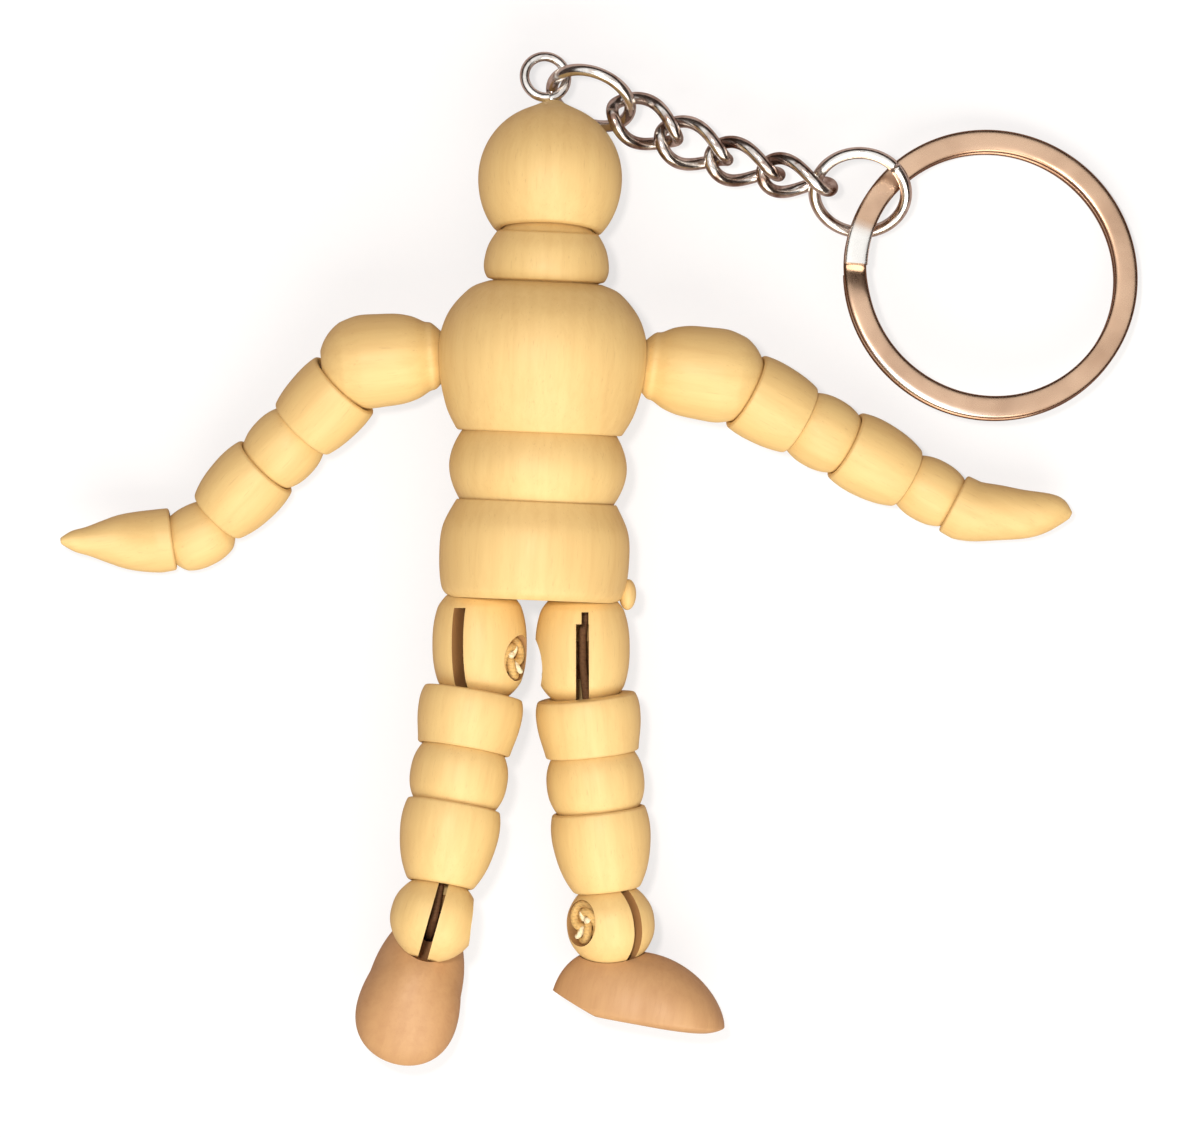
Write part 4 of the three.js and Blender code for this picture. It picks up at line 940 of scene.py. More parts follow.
class FIGURE_OT_torso(Operator):
    """Turn the head, neck, chest, waist and pelvis"""

    bl_idname = "figure.torso"
    bl_label = "Torso beads"

    def execute(self, context):
        t, a, g, m = sizes(context)
        places, wood = figure_places(context), finishes(context).wood
        profiles = {
            "head": self.head(t),
            "neck": self.neck(t),
            "chest": self.chest(t),
            "waist": even_bead(
                t, t.waist_dome, t.waist_rim, t.waist, t.waist_belly, WAIST_FLARE, WAIST_POWER
            ),
            "pelvis": self.pelvis(t),
        }
        for node, profile in profiles.items():
            place, seed = places[node], seed_of(node)
            closed = node not in ("head", "pelvis")
            piece = turn_bead(context, node, place, profile, closed, t.bore, TORSO_SIDES, TORSO_ROWS)
            if node == "head":
                crown, lean = np.array([0, t.crown, 0]), heading(90 + EYE_LEAN)
                hole = rod(crown + lean, crown - lean * m.eye_shank, m.eye_wire + SCREW_ROOM)
                carve(context, piece, place, [(hole, HOLE_SHADE)], seed)
            if node == "chest":
                end = np.array(shoulder_end(a)) + np.array([t.seam, -t.seam])
                dent = turned(np.vstack([[[0, end[0, 1]]], end, [[0, end[-1, 1]]]]), LIMB_SIDES)
                for name in SIDES:
                    carve(context, piece, places[f"{name}_shoulder"], [(dent, DENT_SHADE)], seed)
                way = rod(seat_at(-1, a), seat_at(1, a), t.bore)
                carve(context, piece, place, [(way, HOLE_SHADE)], seed)
            if node == "pelvis":
                hips = [hip_at(side, t, g) for side in (-1, 1)]
                cuts = [(ball(hip, g.thigh_dome + t.seam), DENT_SHADE) for hip in hips]
                carve(context, piece, place, cuts, seed)
                middle = hips[1] + np.array([PLUG_SHIFT[0], g.hip_below + PLUG_SHIFT[1], 0])
                plug = ball([0, 0, 0], 1) * np.array(PLUG_SIZE) + middle
                settle(make_piece(context, "hip_plug", place, plug, seed=seed), node, wood, "wood")
            settle(piece, node, wood, "wood", node)
        return {"FINISHED"}

    @staticmethod
    def head(t):
        """Stretched ball over a cup, with a full jaw, a small peak at the crown and a blind cord hole."""
        seat = rim_cup(t.neck_dome, t.neck_rim_top, t)
        centre = t.head_above_neck - t.top
        lip = math.pi - math.acos((centre - seat[4]) / t.head_half_height)
        skull = arc(0, 1, lip, 0, 60)
        jaw = skull[:, 1] < 0
        skull[jaw, 0] **= JAW_POWER
        skull = skull * np.array([t.head_radius, t.head_half_height]) + np.array([0, centre])
        skull[-1, 0] = 0
        skull[:, 1] += CROWN_PEAK * np.exp(-((skull[:, 0] / CROWN_SPREAD) ** 2)) * ~jaw
        bore_top = seat[0] + HEAD_BORE
        return np.vstack([[[0, bore_top], [t.bore, bore_top]], arc(0, seat[0], seat[2], seat[1]), skull])

    @staticmethod
    def neck(t):
        """Bead with a narrower top than base, and a ledge at either end of its side."""
        low = (t.neck_dome, t.neck_rim_base, t.base, t.bore + NECK_FLARES[0])
        high = (t.neck_dome, t.neck_rim_top, t.top, t.bore + NECK_FLARES[1])
        return domed(low, high, t.neck_belly, t.bore, lean=1.15, power=NECK_POWER, ledges=NECK_LEDGES)

    @staticmethod
    def chest(t):
        """Barrel between the waist's cup and the neck's cup, through four outline points."""
        low, high = rim_cup(t.waist_dome, t.waist_rim, t), rim_cup(t.neck_dome, t.neck_rim_base, t)
        start = -t.waist_drop + t.waist
        r = t.chest_radius
        marks = [[0.91 * r, -0.43 * r], [r, 0.03 * r], [0.93 * r, 0.4 * r], [high[3] + 0.18 * r, 0.66 * r]]
        outline = lambda first, last: spline([first, *([x, y - start] for x, y in marks), last], 60)[1:-1]
        return cupped(low, high, t.neck_height + t.base - start, outline) + np.array([0, start])

    @staticmethod
    def pelvis(t):
        """Drum below the waist's cup, with a rounded base."""
        seat = rim_cup(t.waist_dome, t.waist_rim, t, t.waist_rim + t.lip_wall)
        r, size, rim = t.pelvis_radius, t.pelvis_length, -seat[4]
        floor = rim - size
        marks = [[r - 0.2, rim - 0.28 * size], [r, rim - 0.6 * size], [r - 0.35, floor + 0.1 * size]]
        side = spline([[seat[3], rim], *marks, [r - 1.2, floor]], 50)
        bore_floor = -seat[0] - PELVIS_BORE
        inside = arc(0, seat[0], math.pi - seat[2], math.pi - seat[1])
        return np.vstack([[[0, bore_floor], [t.bore, bore_floor]], inside, side, [[0, floor]]])


def shoulder_end(a):
    """Profile points of a shoulder's inner end, from its side in over the collar to the cord's hole."""
    r = a.shoulder_dome
    marks = [(0.935, 0.08), (0.85, -0.23), (0.72, -0.47), (0.69, -0.6), (0.5, -0.79), (0.36, -0.92)]
    return [[r * wide, r * along] for wide, along in marks]


class FIGURE_OT_arms(Operator):
    """Turn the beads of both arms and shape the hands"""

    bl_idname = "figure.arms"
    bl_label = "Arm beads"

    def execute(self, context):
        t, a, _, _ = sizes(context)
        places, wood = figure_places(context), finishes(context).wood
        shoulder_cup = rim_cup(a.shoulder_dome, a.shoulder_rim, t)
        elbow_cup = rim_cup(a.elbow_dome, a.elbow_rim, t)
        wrist_cup = rim_cup(a.wrist_dome, a.wrist_rim, t)
        upper_span, fore_span = a.upper_length - a.elbow, a.fore_length - a.elbow - a.wrist
        profiles = {
            "shoulder": self.shoulder(t, a),
            "upper_arm": cupped(shoulder_cup, elbow_cup, upper_span, bellied(a.upper_belly)),
            "elbow": even_bead(t, a.elbow_dome, a.elbow_rim, a.elbow, a.elbow_belly, ELBOW_FLARE),
            "forearm": cupped(elbow_cup, wrist_cup, fore_span, bellied(a.fore_belly)),
            "wrist": even_bead(t, a.wrist_dome, a.wrist_rim, a.wrist, a.wrist_belly, WRIST_FLARE),
        }
        for name in SIDES:
            for part, profile in profiles.items():
                node = f"{name}_{part}"
                piece = turn_bead(context, node, places[node], profile, True, t.bore)
                settle(piece, node, wood, "wood", node)
            node = f"{name}_hand"
            leaf = self.hand(t, a, wrist_cup, HAND_FULL[name])
            bent = lambda grid: self.sweep(grid, a, wrist_cup[0] + t.joint_gap, ARM_POSE[name].side)
            piece = turn_bead(context, node, places[node], leaf, False, t.bore, rows=HAND_ROWS, bent=bent)
            settle(piece, node, wood, "wood", node)
        return {"FINISHED"}

    @staticmethod
    def shoulder(t, a):
        """Egg with a collar at its inner end and a dome at its outer end."""
        r, reach = a.shoulder_dome, a.shoulder_span
        dome = arc(reach, r, math.asin((t.bore + SHOULDER_FLARE) / r), math.radians(EGG_EDGE))
        marks = [dome[-1], [0.972 * r, reach + 0.6], [0.965 * r, 0.6 * reach], *shoulder_end(a)]
        return np.vstack([dome, spline(marks, 60)[1:], [[t.bore, reach / 2]]])

    @staticmethod
    def hand(t, a, seat, full):
        """Leaf over the wrist's cup: full at the palm, thinning to a rounded tip."""
        bore_top = seat[0] + HAND_BORE
        marks = [(1.0, 0.42), (0.9, 0.6), (full, 0.8), (0.7 * full, 0.91)]
        outline = [[w * a.hand_half_width, s * a.hand_length] for w, s in marks]
        side = spline([[seat[3], seat[4]], *outline, [a.hand_tip, a.hand_length]], 50)
        inside = arc(0, seat[0], seat[2], seat[1])
        return np.vstack([[[0, bore_top], [t.bore, bore_top]], inside, side, [[0, a.hand_length]]])

    @staticmethod
    def sweep(grid, a, palm, side):
        """Carries the leaf sideways by a power of its distance past the palm, and flattens it."""
        along = np.clip((grid[..., 1] - palm) / (a.hand_length - palm), 0, None)
        shift = -side * a.hand_sweep * along**SWEEP_POWER
        flat = 1 - 0.14 * np.minimum(1, 2 * along)
        return np.stack([grid[..., 0] + shift, grid[..., 1], grid[..., 2] * flat], -1)


class FIGURE_OT_legs(Operator):
    """Turn the beads of both legs, with their cord slots and knot holes, and shape the feet"""

    bl_idname = "figure.legs"
    bl_label = "Leg beads"

    def execute(self, context):
        t, _, g, _ = sizes(context)
        places, looks = figure_places(context), finishes(context)
        edge = math.sin(math.radians(EGG_EDGE))
        knee_cup = rim_cup(g.knee_dome, g.knee_rim, t)
        thigh_angle = math.acos(g.lower_drop / (g.thigh_dome + t.joint_gap))
        thigh_cup = cup(g.thigh_dome, thigh_angle, t, g.lower_lip)
        ankle_cup = cup(g.ankle_dome, math.acos(g.calf_rise / (g.ankle_dome + t.joint_gap)), t)
        thigh_ends = [
            (g.thigh_dome, g.thigh_dome * edge, centre, t.bore + flare)
            for centre, flare in zip((0, g.thigh_span), THIGH_FLARES)
        ]
        lower_span, calf_span = g.lower_length - g.knee, g.calf_length - g.knee
        profiles = {
            "thigh": domed(*thigh_ends, THIGH_FULL * g.thigh_dome, t.bore),
            "lower_thigh": cupped(knee_cup, thigh_cup, lower_span, bellied(g.lower_belly, 1.5)),
            "knee": even_bead(t, g.knee_dome, g.knee_rim, g.knee, g.knee_belly, KNEE_FLARE),
            "calf": cupped(ankle_cup, knee_cup, calf_span, bellied(g.calf_belly)),
            "ankle": even_bead(t, g.ankle_dome, g.ankle_dome * edge, 0, g.ankle_dome, ANKLE_FLARE),
        }
        for name in SIDES:
            for part, profile in profiles.items():
                node = f"{name}_{part}"
                piece = turn_bead(context, node, places[node], profile, True, t.bore)
                if part in ("thigh", "ankle"):
                    cuts = self.cuts(part, t, g, -LEG_POSE[name].side)
                    carve(context, piece, places[node], cuts, seed_of(node))
                settle(piece, node, looks.wood, "wood", node)
            self.foot(context, f"{name}_foot", places[f"{name}_foot"], t, g, looks.foot)
        return {"FINISHED"}

    @staticmethod
    def cuts(part, t, g, side):
        """Slot open to the front and below, its way through to the back, and a hole in one side for the
        knot. The right thigh's slot has a narrow step at its top."""
        thigh = part == "thigh"
        lap, skim, inset = 0.1, 0.02, 0.05
        dome = g.thigh_dome if thigh else g.ankle_dome
        half = g.slot_width * (0.5 if thigh else ANKLE_SLOT)
        far = dome + 1
        rise, low, back = (g.slot_rise, 0, t.bore) if thigh else (far, t.bore, far)
        behind = slab([-half, -far - lap, -back], [half, low, lap])
        up = KNOT_RISE[part]
        hole = rod([-side * KNOT_HOLE_BACK, up, 0], [side * far, up, 0], g.knot_hole, 64)
        stepped = thigh and side < 0
        slots = [slab([-half, -far, -skim], [half, rise - SLOT_STEP * stepped, far])]
        if stepped:
            slots.append(slab([-lap, -far, -skim], [half - inset, rise, far]))
        return [*((slot, SLOT_SHADE) for slot in slots), (behind, BACK_SHADE), (hole, KNOT_SHADE)]

    @staticmethod
    def foot(context, node, place, t, g, finish):
        """Half egg on its side. Along its length the section grows as the sine of one parameter and widens
        toward the toes; round the section it is an ellipse, cut off by the sole and by the lift of the heel
        with a rounded edge, and hollowed for the ankle."""
        heel, toes, spread, trim, soft = 0.6, 1.35, 0.48, 0.92, 0.12
        floor = -(g.ankle_dome + g.foot_height - g.foot_seat)
        v = np.linspace(0, np.pi, FOOT_ROWS)[:, None]
        u = np.linspace(0, 2 * np.pi, FOOT_SIDES, endpoint=False)[None]
        along, ring = -np.cos(v), np.sin(v)
        ring[[0, -1]] = 0
        reach = np.where(along < 0, -np.abs(along) ** heel, along)
        z = reach * g.foot_length / 2 + g.foot_length / 2 - g.foot_heel + 0 * u
        width = g.foot_width / 2 * (1 + spread * along) * trim
        up = np.where(along > 0, ring**toes, ring) * np.sin(u)
        instep = g.foot_height - g.sole_round
        y = floor + g.sole_round + np.where(up > 0, instep, 2 * g.sole_round) * up
        under = floor + np.maximum(0, -z) * math.tan(math.radians(HEEL_LIFT))
        y = under + soft * np.log1p(np.exp(np.clip((y - under) / soft, -40, 40)))
        y = np.where(y - under > 3, floor + g.sole_round + instep * up, y)
        grid = np.stack([ring * np.cos(u) * width, y, z], -1)
        seed = seed_of(node)
        piece = make_piece(context, f"{node}_shaped", place, grid, seed=seed)
        seat = -(g.ankle_dome + t.seam)
        hole = rod([0, seat + 1, 0], [0, seat - FOOT_BORE, 0], t.bore)
        carve(context, piece, place, [(ball([0, 0, 0], -seat), DENT_SHADE), (hole, HOLE_SHADE)], seed)
        settle(piece, node, finish, "foot_wood", node)


class FIGURE_OT_cords(Operator):
    """String the figure: each bead holds its length of cord between its joints, and leg balls hold knots"""

    bl_idname = "figure.cords"
    bl_label = "Elastic cords"

    def execute(self, context):
        t, a, g, _ = sizes(context)
        places, finish = figure_places(context), finishes(context).cord
        for body, low, high in [*self.spine(t), *self.limbs(t, a, g)]:
            ends = [point(places[body], 0, along, 0) for along in (low, high)]
            piece = self.cord(context, f"cord_{body}", body, ends, t.cord, finish)
            if body == "chest":
                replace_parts(piece, "spine_cord")
        seats = [places[f"{name}_shoulder"].origin for name in SIDES]
        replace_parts(self.cord(context, "cord_arms_chest", "chest", seats, t.cord, finish), "arm_cord")
        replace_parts(self.hips(context, t, g, places, finish), "leg_cord")
        for name in SIDES:
            for part, dome in (("thigh", g.thigh_dome), ("ankle", g.ankle_dome)):
                node = f"{name}_{part}"
                out = math.sqrt(dome**2 - g.knot_hole**2) - KNOT_DEPTH[node]
                centre = shifted(places[node], KNOT_RISE[part])
                self.knot(context, node, centre, -LEG_POSE[name].side, out)
        return {"FINISHED"}

    @staticmethod
    def cord(context, name, body, route, radius, finish):
        """One length of cord along a route, with rounded ends."""
        return settle(make_piece(context, name, FIGURE, capsule(route, radius)), body, finish, "elastic")

    @staticmethod
    def spine(t):
        """Bodies of the spine with the low and high ends of their lengths of cord, along their own Y. A domed
        bead holds cord from dome to dome, and a cupped one from cup to cup."""
        inside, outside = -t.cord - CORD_INSET, t.cord + t.seam
        chest_low = -t.waist_drop + t.waist + t.waist_dome + outside
        return [
            ("head", t.neck_dome + outside, t.neck_dome + HEAD_CORD),
            ("neck", t.base - t.neck_dome - inside, t.top + t.neck_dome + inside),
            ("chest", chest_low, t.neck_height + t.base - t.neck_dome - outside),
            ("waist", -t.waist - t.waist_dome - inside, t.waist + t.waist_dome + inside),
            ("pelvis", -t.waist_dome - PELVIS_CORD, -t.waist_dome - outside),
        ]

    @staticmethod
    def limbs(t, a, g):
        """The same for the limbs. In the slotted balls of a leg the cord starts from the ball's centre."""
        inside, outside = -t.cord - CORD_INSET, t.cord + t.seam
        domed_run = lambda dome, shift: (-shift - dome - inside, shift + dome + inside)
        fore_span = a.fore_length - a.elbow - a.wrist
        runs = {
            "shoulder": (0, a.shoulder_span + a.shoulder_dome + inside),
            "upper_arm": (a.shoulder_dome + outside, a.upper_length - a.elbow - a.elbow_dome - outside),
            "elbow": domed_run(a.elbow_dome, a.elbow),
            "forearm": (a.elbow_dome + outside, fore_span - a.wrist_dome - outside),
            "wrist": domed_run(a.wrist_dome, a.wrist),
            "thigh": (0, g.thigh_span),
            "lower_thigh": (g.knee_dome + outside, g.lower_length - g.knee),
            "knee": domed_run(g.knee_dome, g.knee),
            "calf": (0, g.calf_length - g.knee - g.knee_dome - outside),
            "foot": (-g.ankle_dome - FOOT_CORD, 0),
        }
        return [(f"{name}_{part}", *run) for name in SIDES for part, run in runs.items()]

    def hips(self, context, t, g, places, finish):
        """Length of the legs' cord from hip to hip, bent up through the pelvis."""
        left, right = hip_at(-1, t, g), hip_at(1, t, g)
        pelvis, floor = places["pelvis"], left[1] + g.hip_below
        marks = [
            left,
            [-g.hip_out, floor + 0.9, 0],
            [-0.55 * g.hip_out, floor + 2.5, -1.9],
            [0.55 * g.hip_out, floor + 2.5, -1.9],
            [g.hip_out, floor + 0.9, 0],
            right,
        ]
        route = spline(marks, 40) @ pelvis.basis.T + pelvis.origin
        return self.cord(context, "cord_legs_pelvis", "pelvis", route, t.cord, finish)

    @staticmethod
    def knot(context, node, place, side, out):
        """Overhand knot in the mouth of a leg ball's hole: a trefoil whose radius and height follow the
        cosine and sine of three times its turn, with short frayed tails."""
        angle = np.linspace(0, 2 * np.pi, 160, endpoint=False)
        middle, swing, depth, taller = 1.12, 0.55, 0.4, 1.15
        wide = middle + swing * np.cos(3 * angle)
        rise, across = wide * np.sin(2 * angle), wide * np.cos(2 * angle)
        loop = np.stack([side * (out + depth * np.sin(3 * angle)), taller * rise, across], 1)
        lean = np.linspace(0, 1, 16)[:, None]
        tails = []
        for k, (y, z, far) in enumerate([(0.1, 1.05, 0.7), (-1.0, -0.8, 0.5), (0.75, 0.1, 0.3)]):
            start = np.array([side * (out + 0.1), 0.35 * y, 0.35 * z])
            end = np.array([side * (out + 0.35 + 0.4 * far), 1.35 * y, 1.35 * z])
            curl = np.sin(np.pi * lean) * np.array([0.3 * side, 0.3 * (-1) ** k, 0.2])
            thin = TAIL_CORD * (1 - 0.3 * lean[:, 0])
            thin[[0, -1]] = 0
            tails.append(swept(start * (1 - lean) + end * lean + curl, thin, 12))
        looks, seed = finishes(context), len(node)
        grid = swept(loop, KNOT_CORD, 18, closed=True)
        knot = make_piece(context, f"knot_{node}", place, grid, wrap=(True, True), seed=seed)
        frayed = make_piece(context, f"knot_tails_{node}", place, tails, seed=seed + 1)
        settle(knot, node, looks.knot, "elastic")
        settle(frayed, node, looks.frayed, "elastic")


class FIGURE_OT_eye(Operator):
    """Bend the screw eye"""

    bl_idname = "figure.eye"
    bl_label = "Screw eye"

    def execute(self, context):
        m = sizes(context)[-1]
        place, finish = figure_places(context)["screw_eye"], finishes(context).nickel
        bend = np.radians(np.linspace(-90, 264, EYE_STEPS))
        loop = m.eye_radius * np.stack([np.cos(bend), np.sin(bend), 0 * bend], 1)
        loop[:, 2] += 0.5 * np.linspace(0, 1, EYE_STEPS) ** 3
        rise = np.linspace(-m.eye_shank, 0, 40)
        shank = np.stack([0 * rise, rise - m.eye_radius, 0 * rise], 1)[:-1]
        path = np.vstack([shank[:1], shank, loop, loop[-1:]])
        size = np.full(len(path), m.eye_wire)
        thread = np.arange(1, len(shank) + 1)
        size[thread] *= 1 - 0.14 * (0.5 + 0.5 * np.sin(thread * 1.9))
        size[[0, -1]] = 0
        piece = make_piece(context, "screw_eye_bent", place, swept(path, size, WIRE_SIDES))
        settle(piece, "head", finish, "nickel", "screw_eye")
        return {"FINISHED"}


class FIGURE_OT_chain(Operator):
    """Bend the jump rings and the curb links"""

    bl_idname = "figure.chain"
    bl_label = "Chain"

    def execute(self, context):
        m = sizes(context)[-1]
        places, looks = figure_places(context), finishes(context)
        for (node, gap), radius in zip(RING_GAPS.items(), (m.first_ring, m.last_ring)):
            grid = self.ring(radius, m.ring_wire, gap)
            piece = make_piece(context, f"{node}_bent", places[node], grid, seed=len(node))
            settle(piece, node, looks.nickel, "nickel", node)
        angle = np.linspace(0, 2 * np.pi, LINK_STEPS, endpoint=False)
        y, wide = m.link_half * np.cos(angle), m.link_width * np.sin(angle)
        twist = math.radians(LINK_TWIST) * y / (2 * m.link_half)
        oval = np.stack([wide * np.cos(twist), y, wide * np.sin(twist)], 1)
        grid = swept(oval, m.link_wire, WIRE_SIDES, closed=True)
        for i, node in enumerate(LINKS, 1):
            piece = make_piece(context, f"{node}_bent", places[node], grid, wrap=(True, True), seed=i)
            settle(piece, node, looks.links, "nickel", node)
        return {"FINISHED"}

    @staticmethod
    def ring(radius, wire, gap):
        """Open circle of wire whose ends nearly meet: a circle less a narrow gap, with flat cut ends."""
        bend = np.radians(np.linspace(1.2, 358.8, RING_STEPS)) + math.radians(gap)
        line = radius * np.stack([np.cos(bend), np.sin(bend), 0 * bend], 1)
        line = np.vstack([line[:1], line, line[-1:]])
        size = np.full(len(line), wire)
        size[[0, -1]] = 0
        return swept(line, size, WIRE_SIDES)


class FIGURE_OT_split_ring(Operator):
    """Wind the flat split ring"""

    bl_idname = "figure.split_ring"
    bl_label = "Split ring"

    def execute(self, context):
        m = sizes(context)[-1]
        place, finish = figure_places(context)["split_ring"], finishes(context).copper
        # Painted shade along the band's edges, and painted silver highlights
        edges, glint_spots = self.edges(m), self.glint_spots(m)
        piece = make_piece(context, "split_ring_wound", place, self.coils(m), shade=edges, rim=glint_spots)
        piece.data.set_sharp_from_angle(angle=math.radians(BAND_EDGE))
        settle(piece, "split_ring", finish, "ring_steel", "split_ring")
        return {"FINISHED"}

    @staticmethod
    def section(m):
        """Rounded rectangle: powers of the cosine and sine scaled to the band's width and thickness."""
        u = np.linspace(0, 2 * np.pi, 40, endpoint=False)
        power = lambda x, p: np.sign(x) * np.abs(x) ** p
        return m.split_band / 2 * power(np.cos(u), 0.55), m.split_coil / 2 * power(np.sin(u), 0.6)

    def coils(self, m):
        """Two turns of flat wire. The height steps from the lower coil to the upper one in a short smooth
        rise."""
        turns, step = 2 - 1 / 90, 24 / 360
        along = np.linspace(0, turns, SPLIT_STEPS - 2)
        along = np.concatenate([along[:1], along, along[-1:]])
        s = np.clip((along - (1 - step / 2)) / step, 0, 1)
        level = (m.split_coil + m.split_gap) * (s * s * (3 - 2 * s) - 0.5)
        out, up = self.section(m)
        size = np.ones((SPLIT_STEPS, 1))
        size[[0, -1]] = 0
        radius = m.split_radius + out * size
        angle = 2 * np.pi * along[:, None] + math.radians(SPLIT_END)
        return np.stack([radius * np.cos(angle), radius * np.sin(angle), level[:, None] + up * size], -1)

    def edges(self, m):
        """Painted shade: darker along the edges of the band than on its flats."""
        out, _ = self.section(m)
        edge = np.clip((np.abs(out) / (m.split_band / 2) - 0.75) / 0.22, 0, 1)
        return np.tile(edge, SPLIT_STEPS)

    def glint_spots(self, m):
        """Painted silver highlight: where light glints at the end of the upper coil, and along an outer edge.
        """
        glint_from, fade, spot, reach = 0.972, 0.006, 0.585, 0.03
        out, _ = self.section(m)
        along = np.linspace(0, 1, SPLIT_STEPS)[:, None]
        end = np.clip((along - glint_from) / fade, 0, 1) + 0 * out
        outer = np.clip((out / (m.split_band / 2) - 0.5) / 0.3, 0, 1)
        return np.maximum(end, np.exp(-(((along - spot) / reach) ** 2)) * outer).ravel()


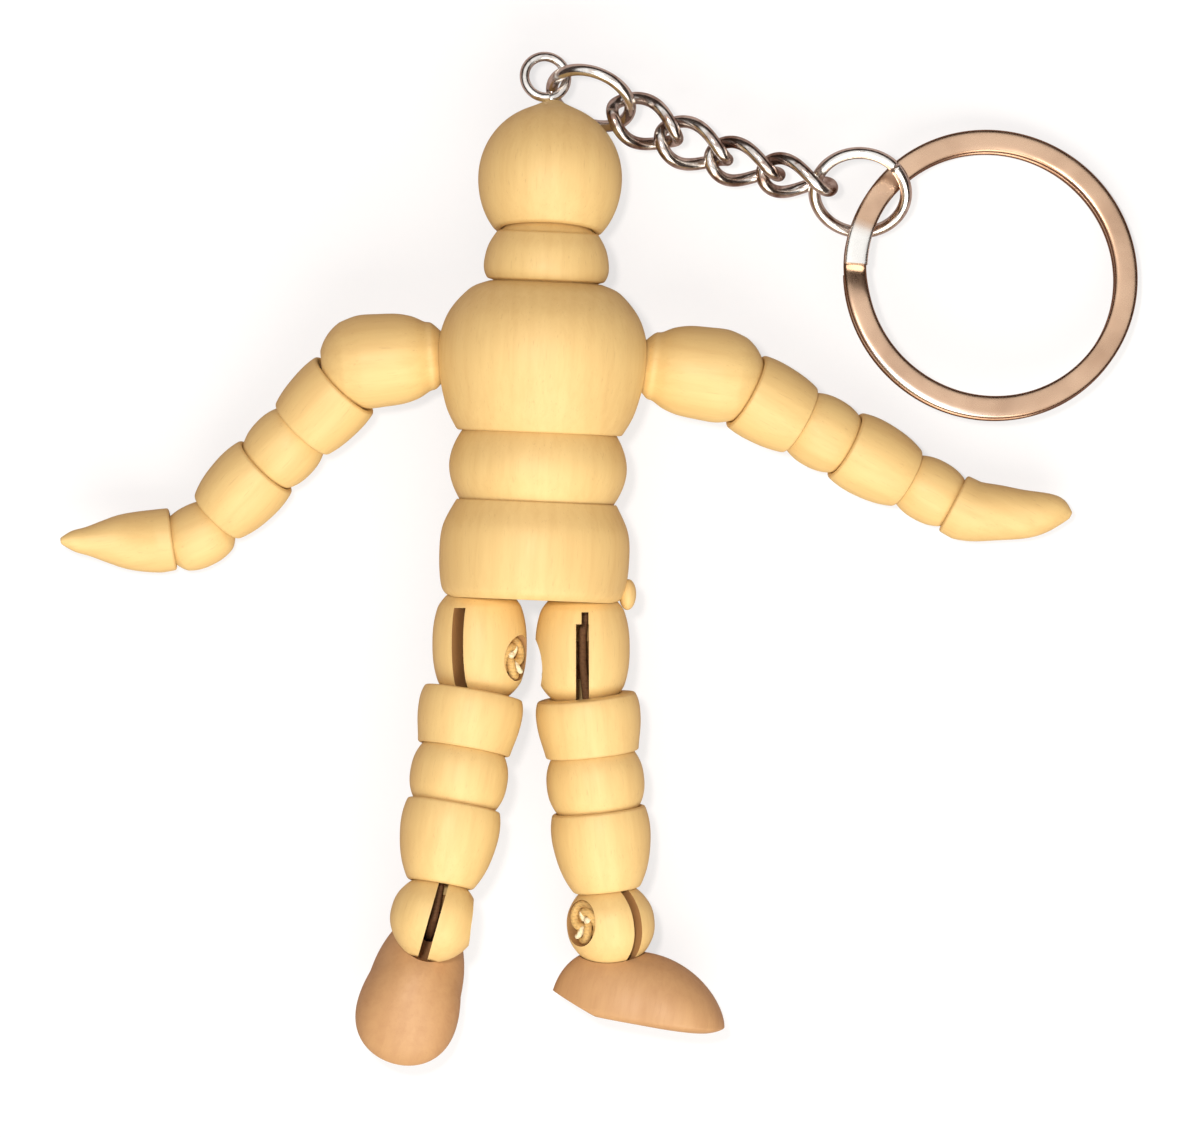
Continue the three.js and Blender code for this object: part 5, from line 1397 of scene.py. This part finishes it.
class FIGURE_OT_stage(Operator):
    """Lay the floor and set the lights and the camera"""

    bl_idname = "figure.stage"
    bl_label = "Stage"

    def execute(self, context):
        self.floor(context)
        self.cards(context)
        self.world(context)
        for name, lamp in LAMPS.items():
            self.light(context, name, *lamp)
        self.camera(context)
        context.scene.view_settings.view_transform = "Standard"
        return {"FINISHED"}

    @staticmethod
    def floor(context):
        """Flat sheet of white paper with a faint tooth. The camera sees it partly lit from within, and the
        figure gets its bounce colour."""
        material, tree, shader = new_finish("white_paper")
        where = add(tree, "ShaderNodeTexCoord").outputs["Object"]
        tooth = noise(tree, where, 900.0, 3.0)
        shade, bounce = tuple(context.scene.finishes.floor), tuple(context.scene.finishes.bounce)
        seen = add(tree, "ShaderNodeLightPath").outputs["Is Camera Ray"]
        white = blend_of(tree, span(tree, tooth, 0.3, 0.7), tuple(0.985 * c for c in shade), shade)
        tree.links.new(blend_of(tree, seen, bounce, white), shader.inputs["Base Color"])
        shader.inputs["Roughness"].default_value = 0.9
        shader.inputs["Specular IOR Level"].default_value = 0.0
        lit = add(tree, "ShaderNodeEmission", {"Color": WHITE, "Strength": 1.0})
        share = math_of(tree, "MULTIPLY", seen, FLOOR_GLOW)
        mix = add(tree, "ShaderNodeMixShader", {0: share, 1: shader.outputs[0], 2: lit.outputs[0]})
        output = next(node for node in tree.nodes if node.type == "OUTPUT_MATERIAL")
        tree.links.new(mix.outputs[0], output.inputs[0])
        mesh = bpy.data.meshes.new("floor")
        corners = [(-1, -1), (1, -1), (1, 1), (-1, 1)]
        mesh.from_pydata([(x * FLOOR_HALF, y * FLOOR_HALF, 0) for x, y in corners], [], [(0, 1, 2, 3)])
        mesh.materials.append(material)
        make_object(context, "floor", mesh)

    @staticmethod
    def cards(context):
        """Dark cards in a ring round the set, which show only in gloss: a band carried round Z."""
        angle = np.linspace(0, 2 * np.pi, CARD_SIDES, endpoint=False)
        points = np.vstack([
            np.stack([radius * np.cos(angle), radius * np.sin(angle), z + 0 * angle], 1)
            for radius, z in CARD_RINGS
        ])
        mesh = bpy.data.meshes.new("dark_cards")
        mesh.from_pydata(points.tolist(), [], quads(2, CARD_SIDES, (False, True)).tolist())
        material, _, shader = new_finish("dark_card")
        shader.inputs["Base Color"].default_value = CARD_COLOUR
        shader.inputs["Roughness"].default_value = 1.0
        mesh.materials.append(material)
        cards = make_object(context, "dark_cards", mesh)
        for ray in ("camera", "diffuse", "shadow", "transmission"):
            setattr(cards, f"visible_{ray}", False)

    @staticmethod
    def world(context):
        """White to the camera and in gloss, and a soft even light on everything else."""
        world = bpy.data.worlds.new("studio")
        context.scene.world = world
        world.use_nodes = True
        tree = world.node_tree
        tree.nodes.clear()
        path = add(tree, "ShaderNodeLightPath")
        seen = math_of(tree, "MAXIMUM", path.outputs["Is Camera Ray"], path.outputs["Is Glossy Ray"])
        seen = math_of(tree, "MAXIMUM", seen, path.outputs["Is Transmission Ray"])
        soft = add(tree, "ShaderNodeBackground", {"Color": SOFT_LIGHT, "Strength": SOFT_STRENGTH})
        white = add(tree, "ShaderNodeBackground", {"Color": WHITE, "Strength": 1.0})
        mix = add(tree, "ShaderNodeMixShader", {0: seen, 1: soft.outputs[0], 2: white.outputs[0]})
        tree.links.new(mix.outputs[0], add(tree, "ShaderNodeOutputWorld").inputs[0])

    @staticmethod
    def light(context, name, place, aim, size, power, colour):
        """Square lamp turned toward a point."""
        lamp = bpy.data.lights.new(name, "AREA")
        lamp.size, lamp.energy, lamp.color = size, power, colour
        piece = make_object(context, name, lamp)
        piece.location = place
        way = Vector(aim) - Vector(place)
        piece.rotation_euler = way.to_track_quat("-Z", "Y").to_euler()

    @staticmethod
    def camera(context):
        """Long lens straight above, framed as the photograph: a tenth of a millimetre to a pixel."""
        lens = bpy.data.cameras.new("camera")
        lens.sensor_width = SENSOR
        lens.lens = SENSOR * (CAMERA_AT[2] - PICTURE_LEVEL) / PICTURE_WIDTH
        lens.clip_start, lens.clip_end = 0.01, 20.0
        piece = make_object(context, "camera", lens)
        piece.location = CAMERA_AT
        context.scene.camera = piece


class FIGURE_PT_pieces(Panel):
    bl_idname = "FIGURE_PT_pieces"
    bl_label = "Figure keychain"
    bl_space_type = "VIEW_3D"
    bl_region_type = "UI"
    bl_category = "Figure"

    def draw(self, context):
        for operator in OPERATORS:
            self.layout.operator(operator.bl_idname)
        for group in GROUPS:
            for key in GROUPS[group].__annotations__:
                self.layout.prop(getattr(context.scene, group), key)


GROUPS = {
    "torso_sizes": TorsoSizes,
    "arm_sizes": ArmSizes,
    "leg_sizes": LegSizes,
    "metal_sizes": MetalSizes,
    "finishes": Finishes,
}
OPERATORS = (
    FIGURE_OT_stage,
    FIGURE_OT_torso,
    FIGURE_OT_arms,
    FIGURE_OT_legs,
    FIGURE_OT_cords,
    FIGURE_OT_eye,
    FIGURE_OT_chain,
    FIGURE_OT_split_ring,
)
CLASSES = (*GROUPS.values(), *OPERATORS, FIGURE_PT_pieces)


def register():
    for item in CLASSES:
        bpy.utils.register_class(item)
    for name, group in GROUPS.items():
        setattr(bpy.types.Scene, name, PointerProperty(type=group))


def unregister():
    for name in GROUPS:
        delattr(bpy.types.Scene, name)
    for item in reversed(CLASSES):
        bpy.utils.unregister_class(item)


def main():
    """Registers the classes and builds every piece."""
    register()
    bpy.ops.figure.stage()
    bpy.ops.figure.torso()
    bpy.ops.figure.arms()
    bpy.ops.figure.legs()
    bpy.ops.figure.cords()
    bpy.ops.figure.eye()
    bpy.ops.figure.chain()
    bpy.ops.figure.split_ring()


if __name__ == "__main__":
    main()
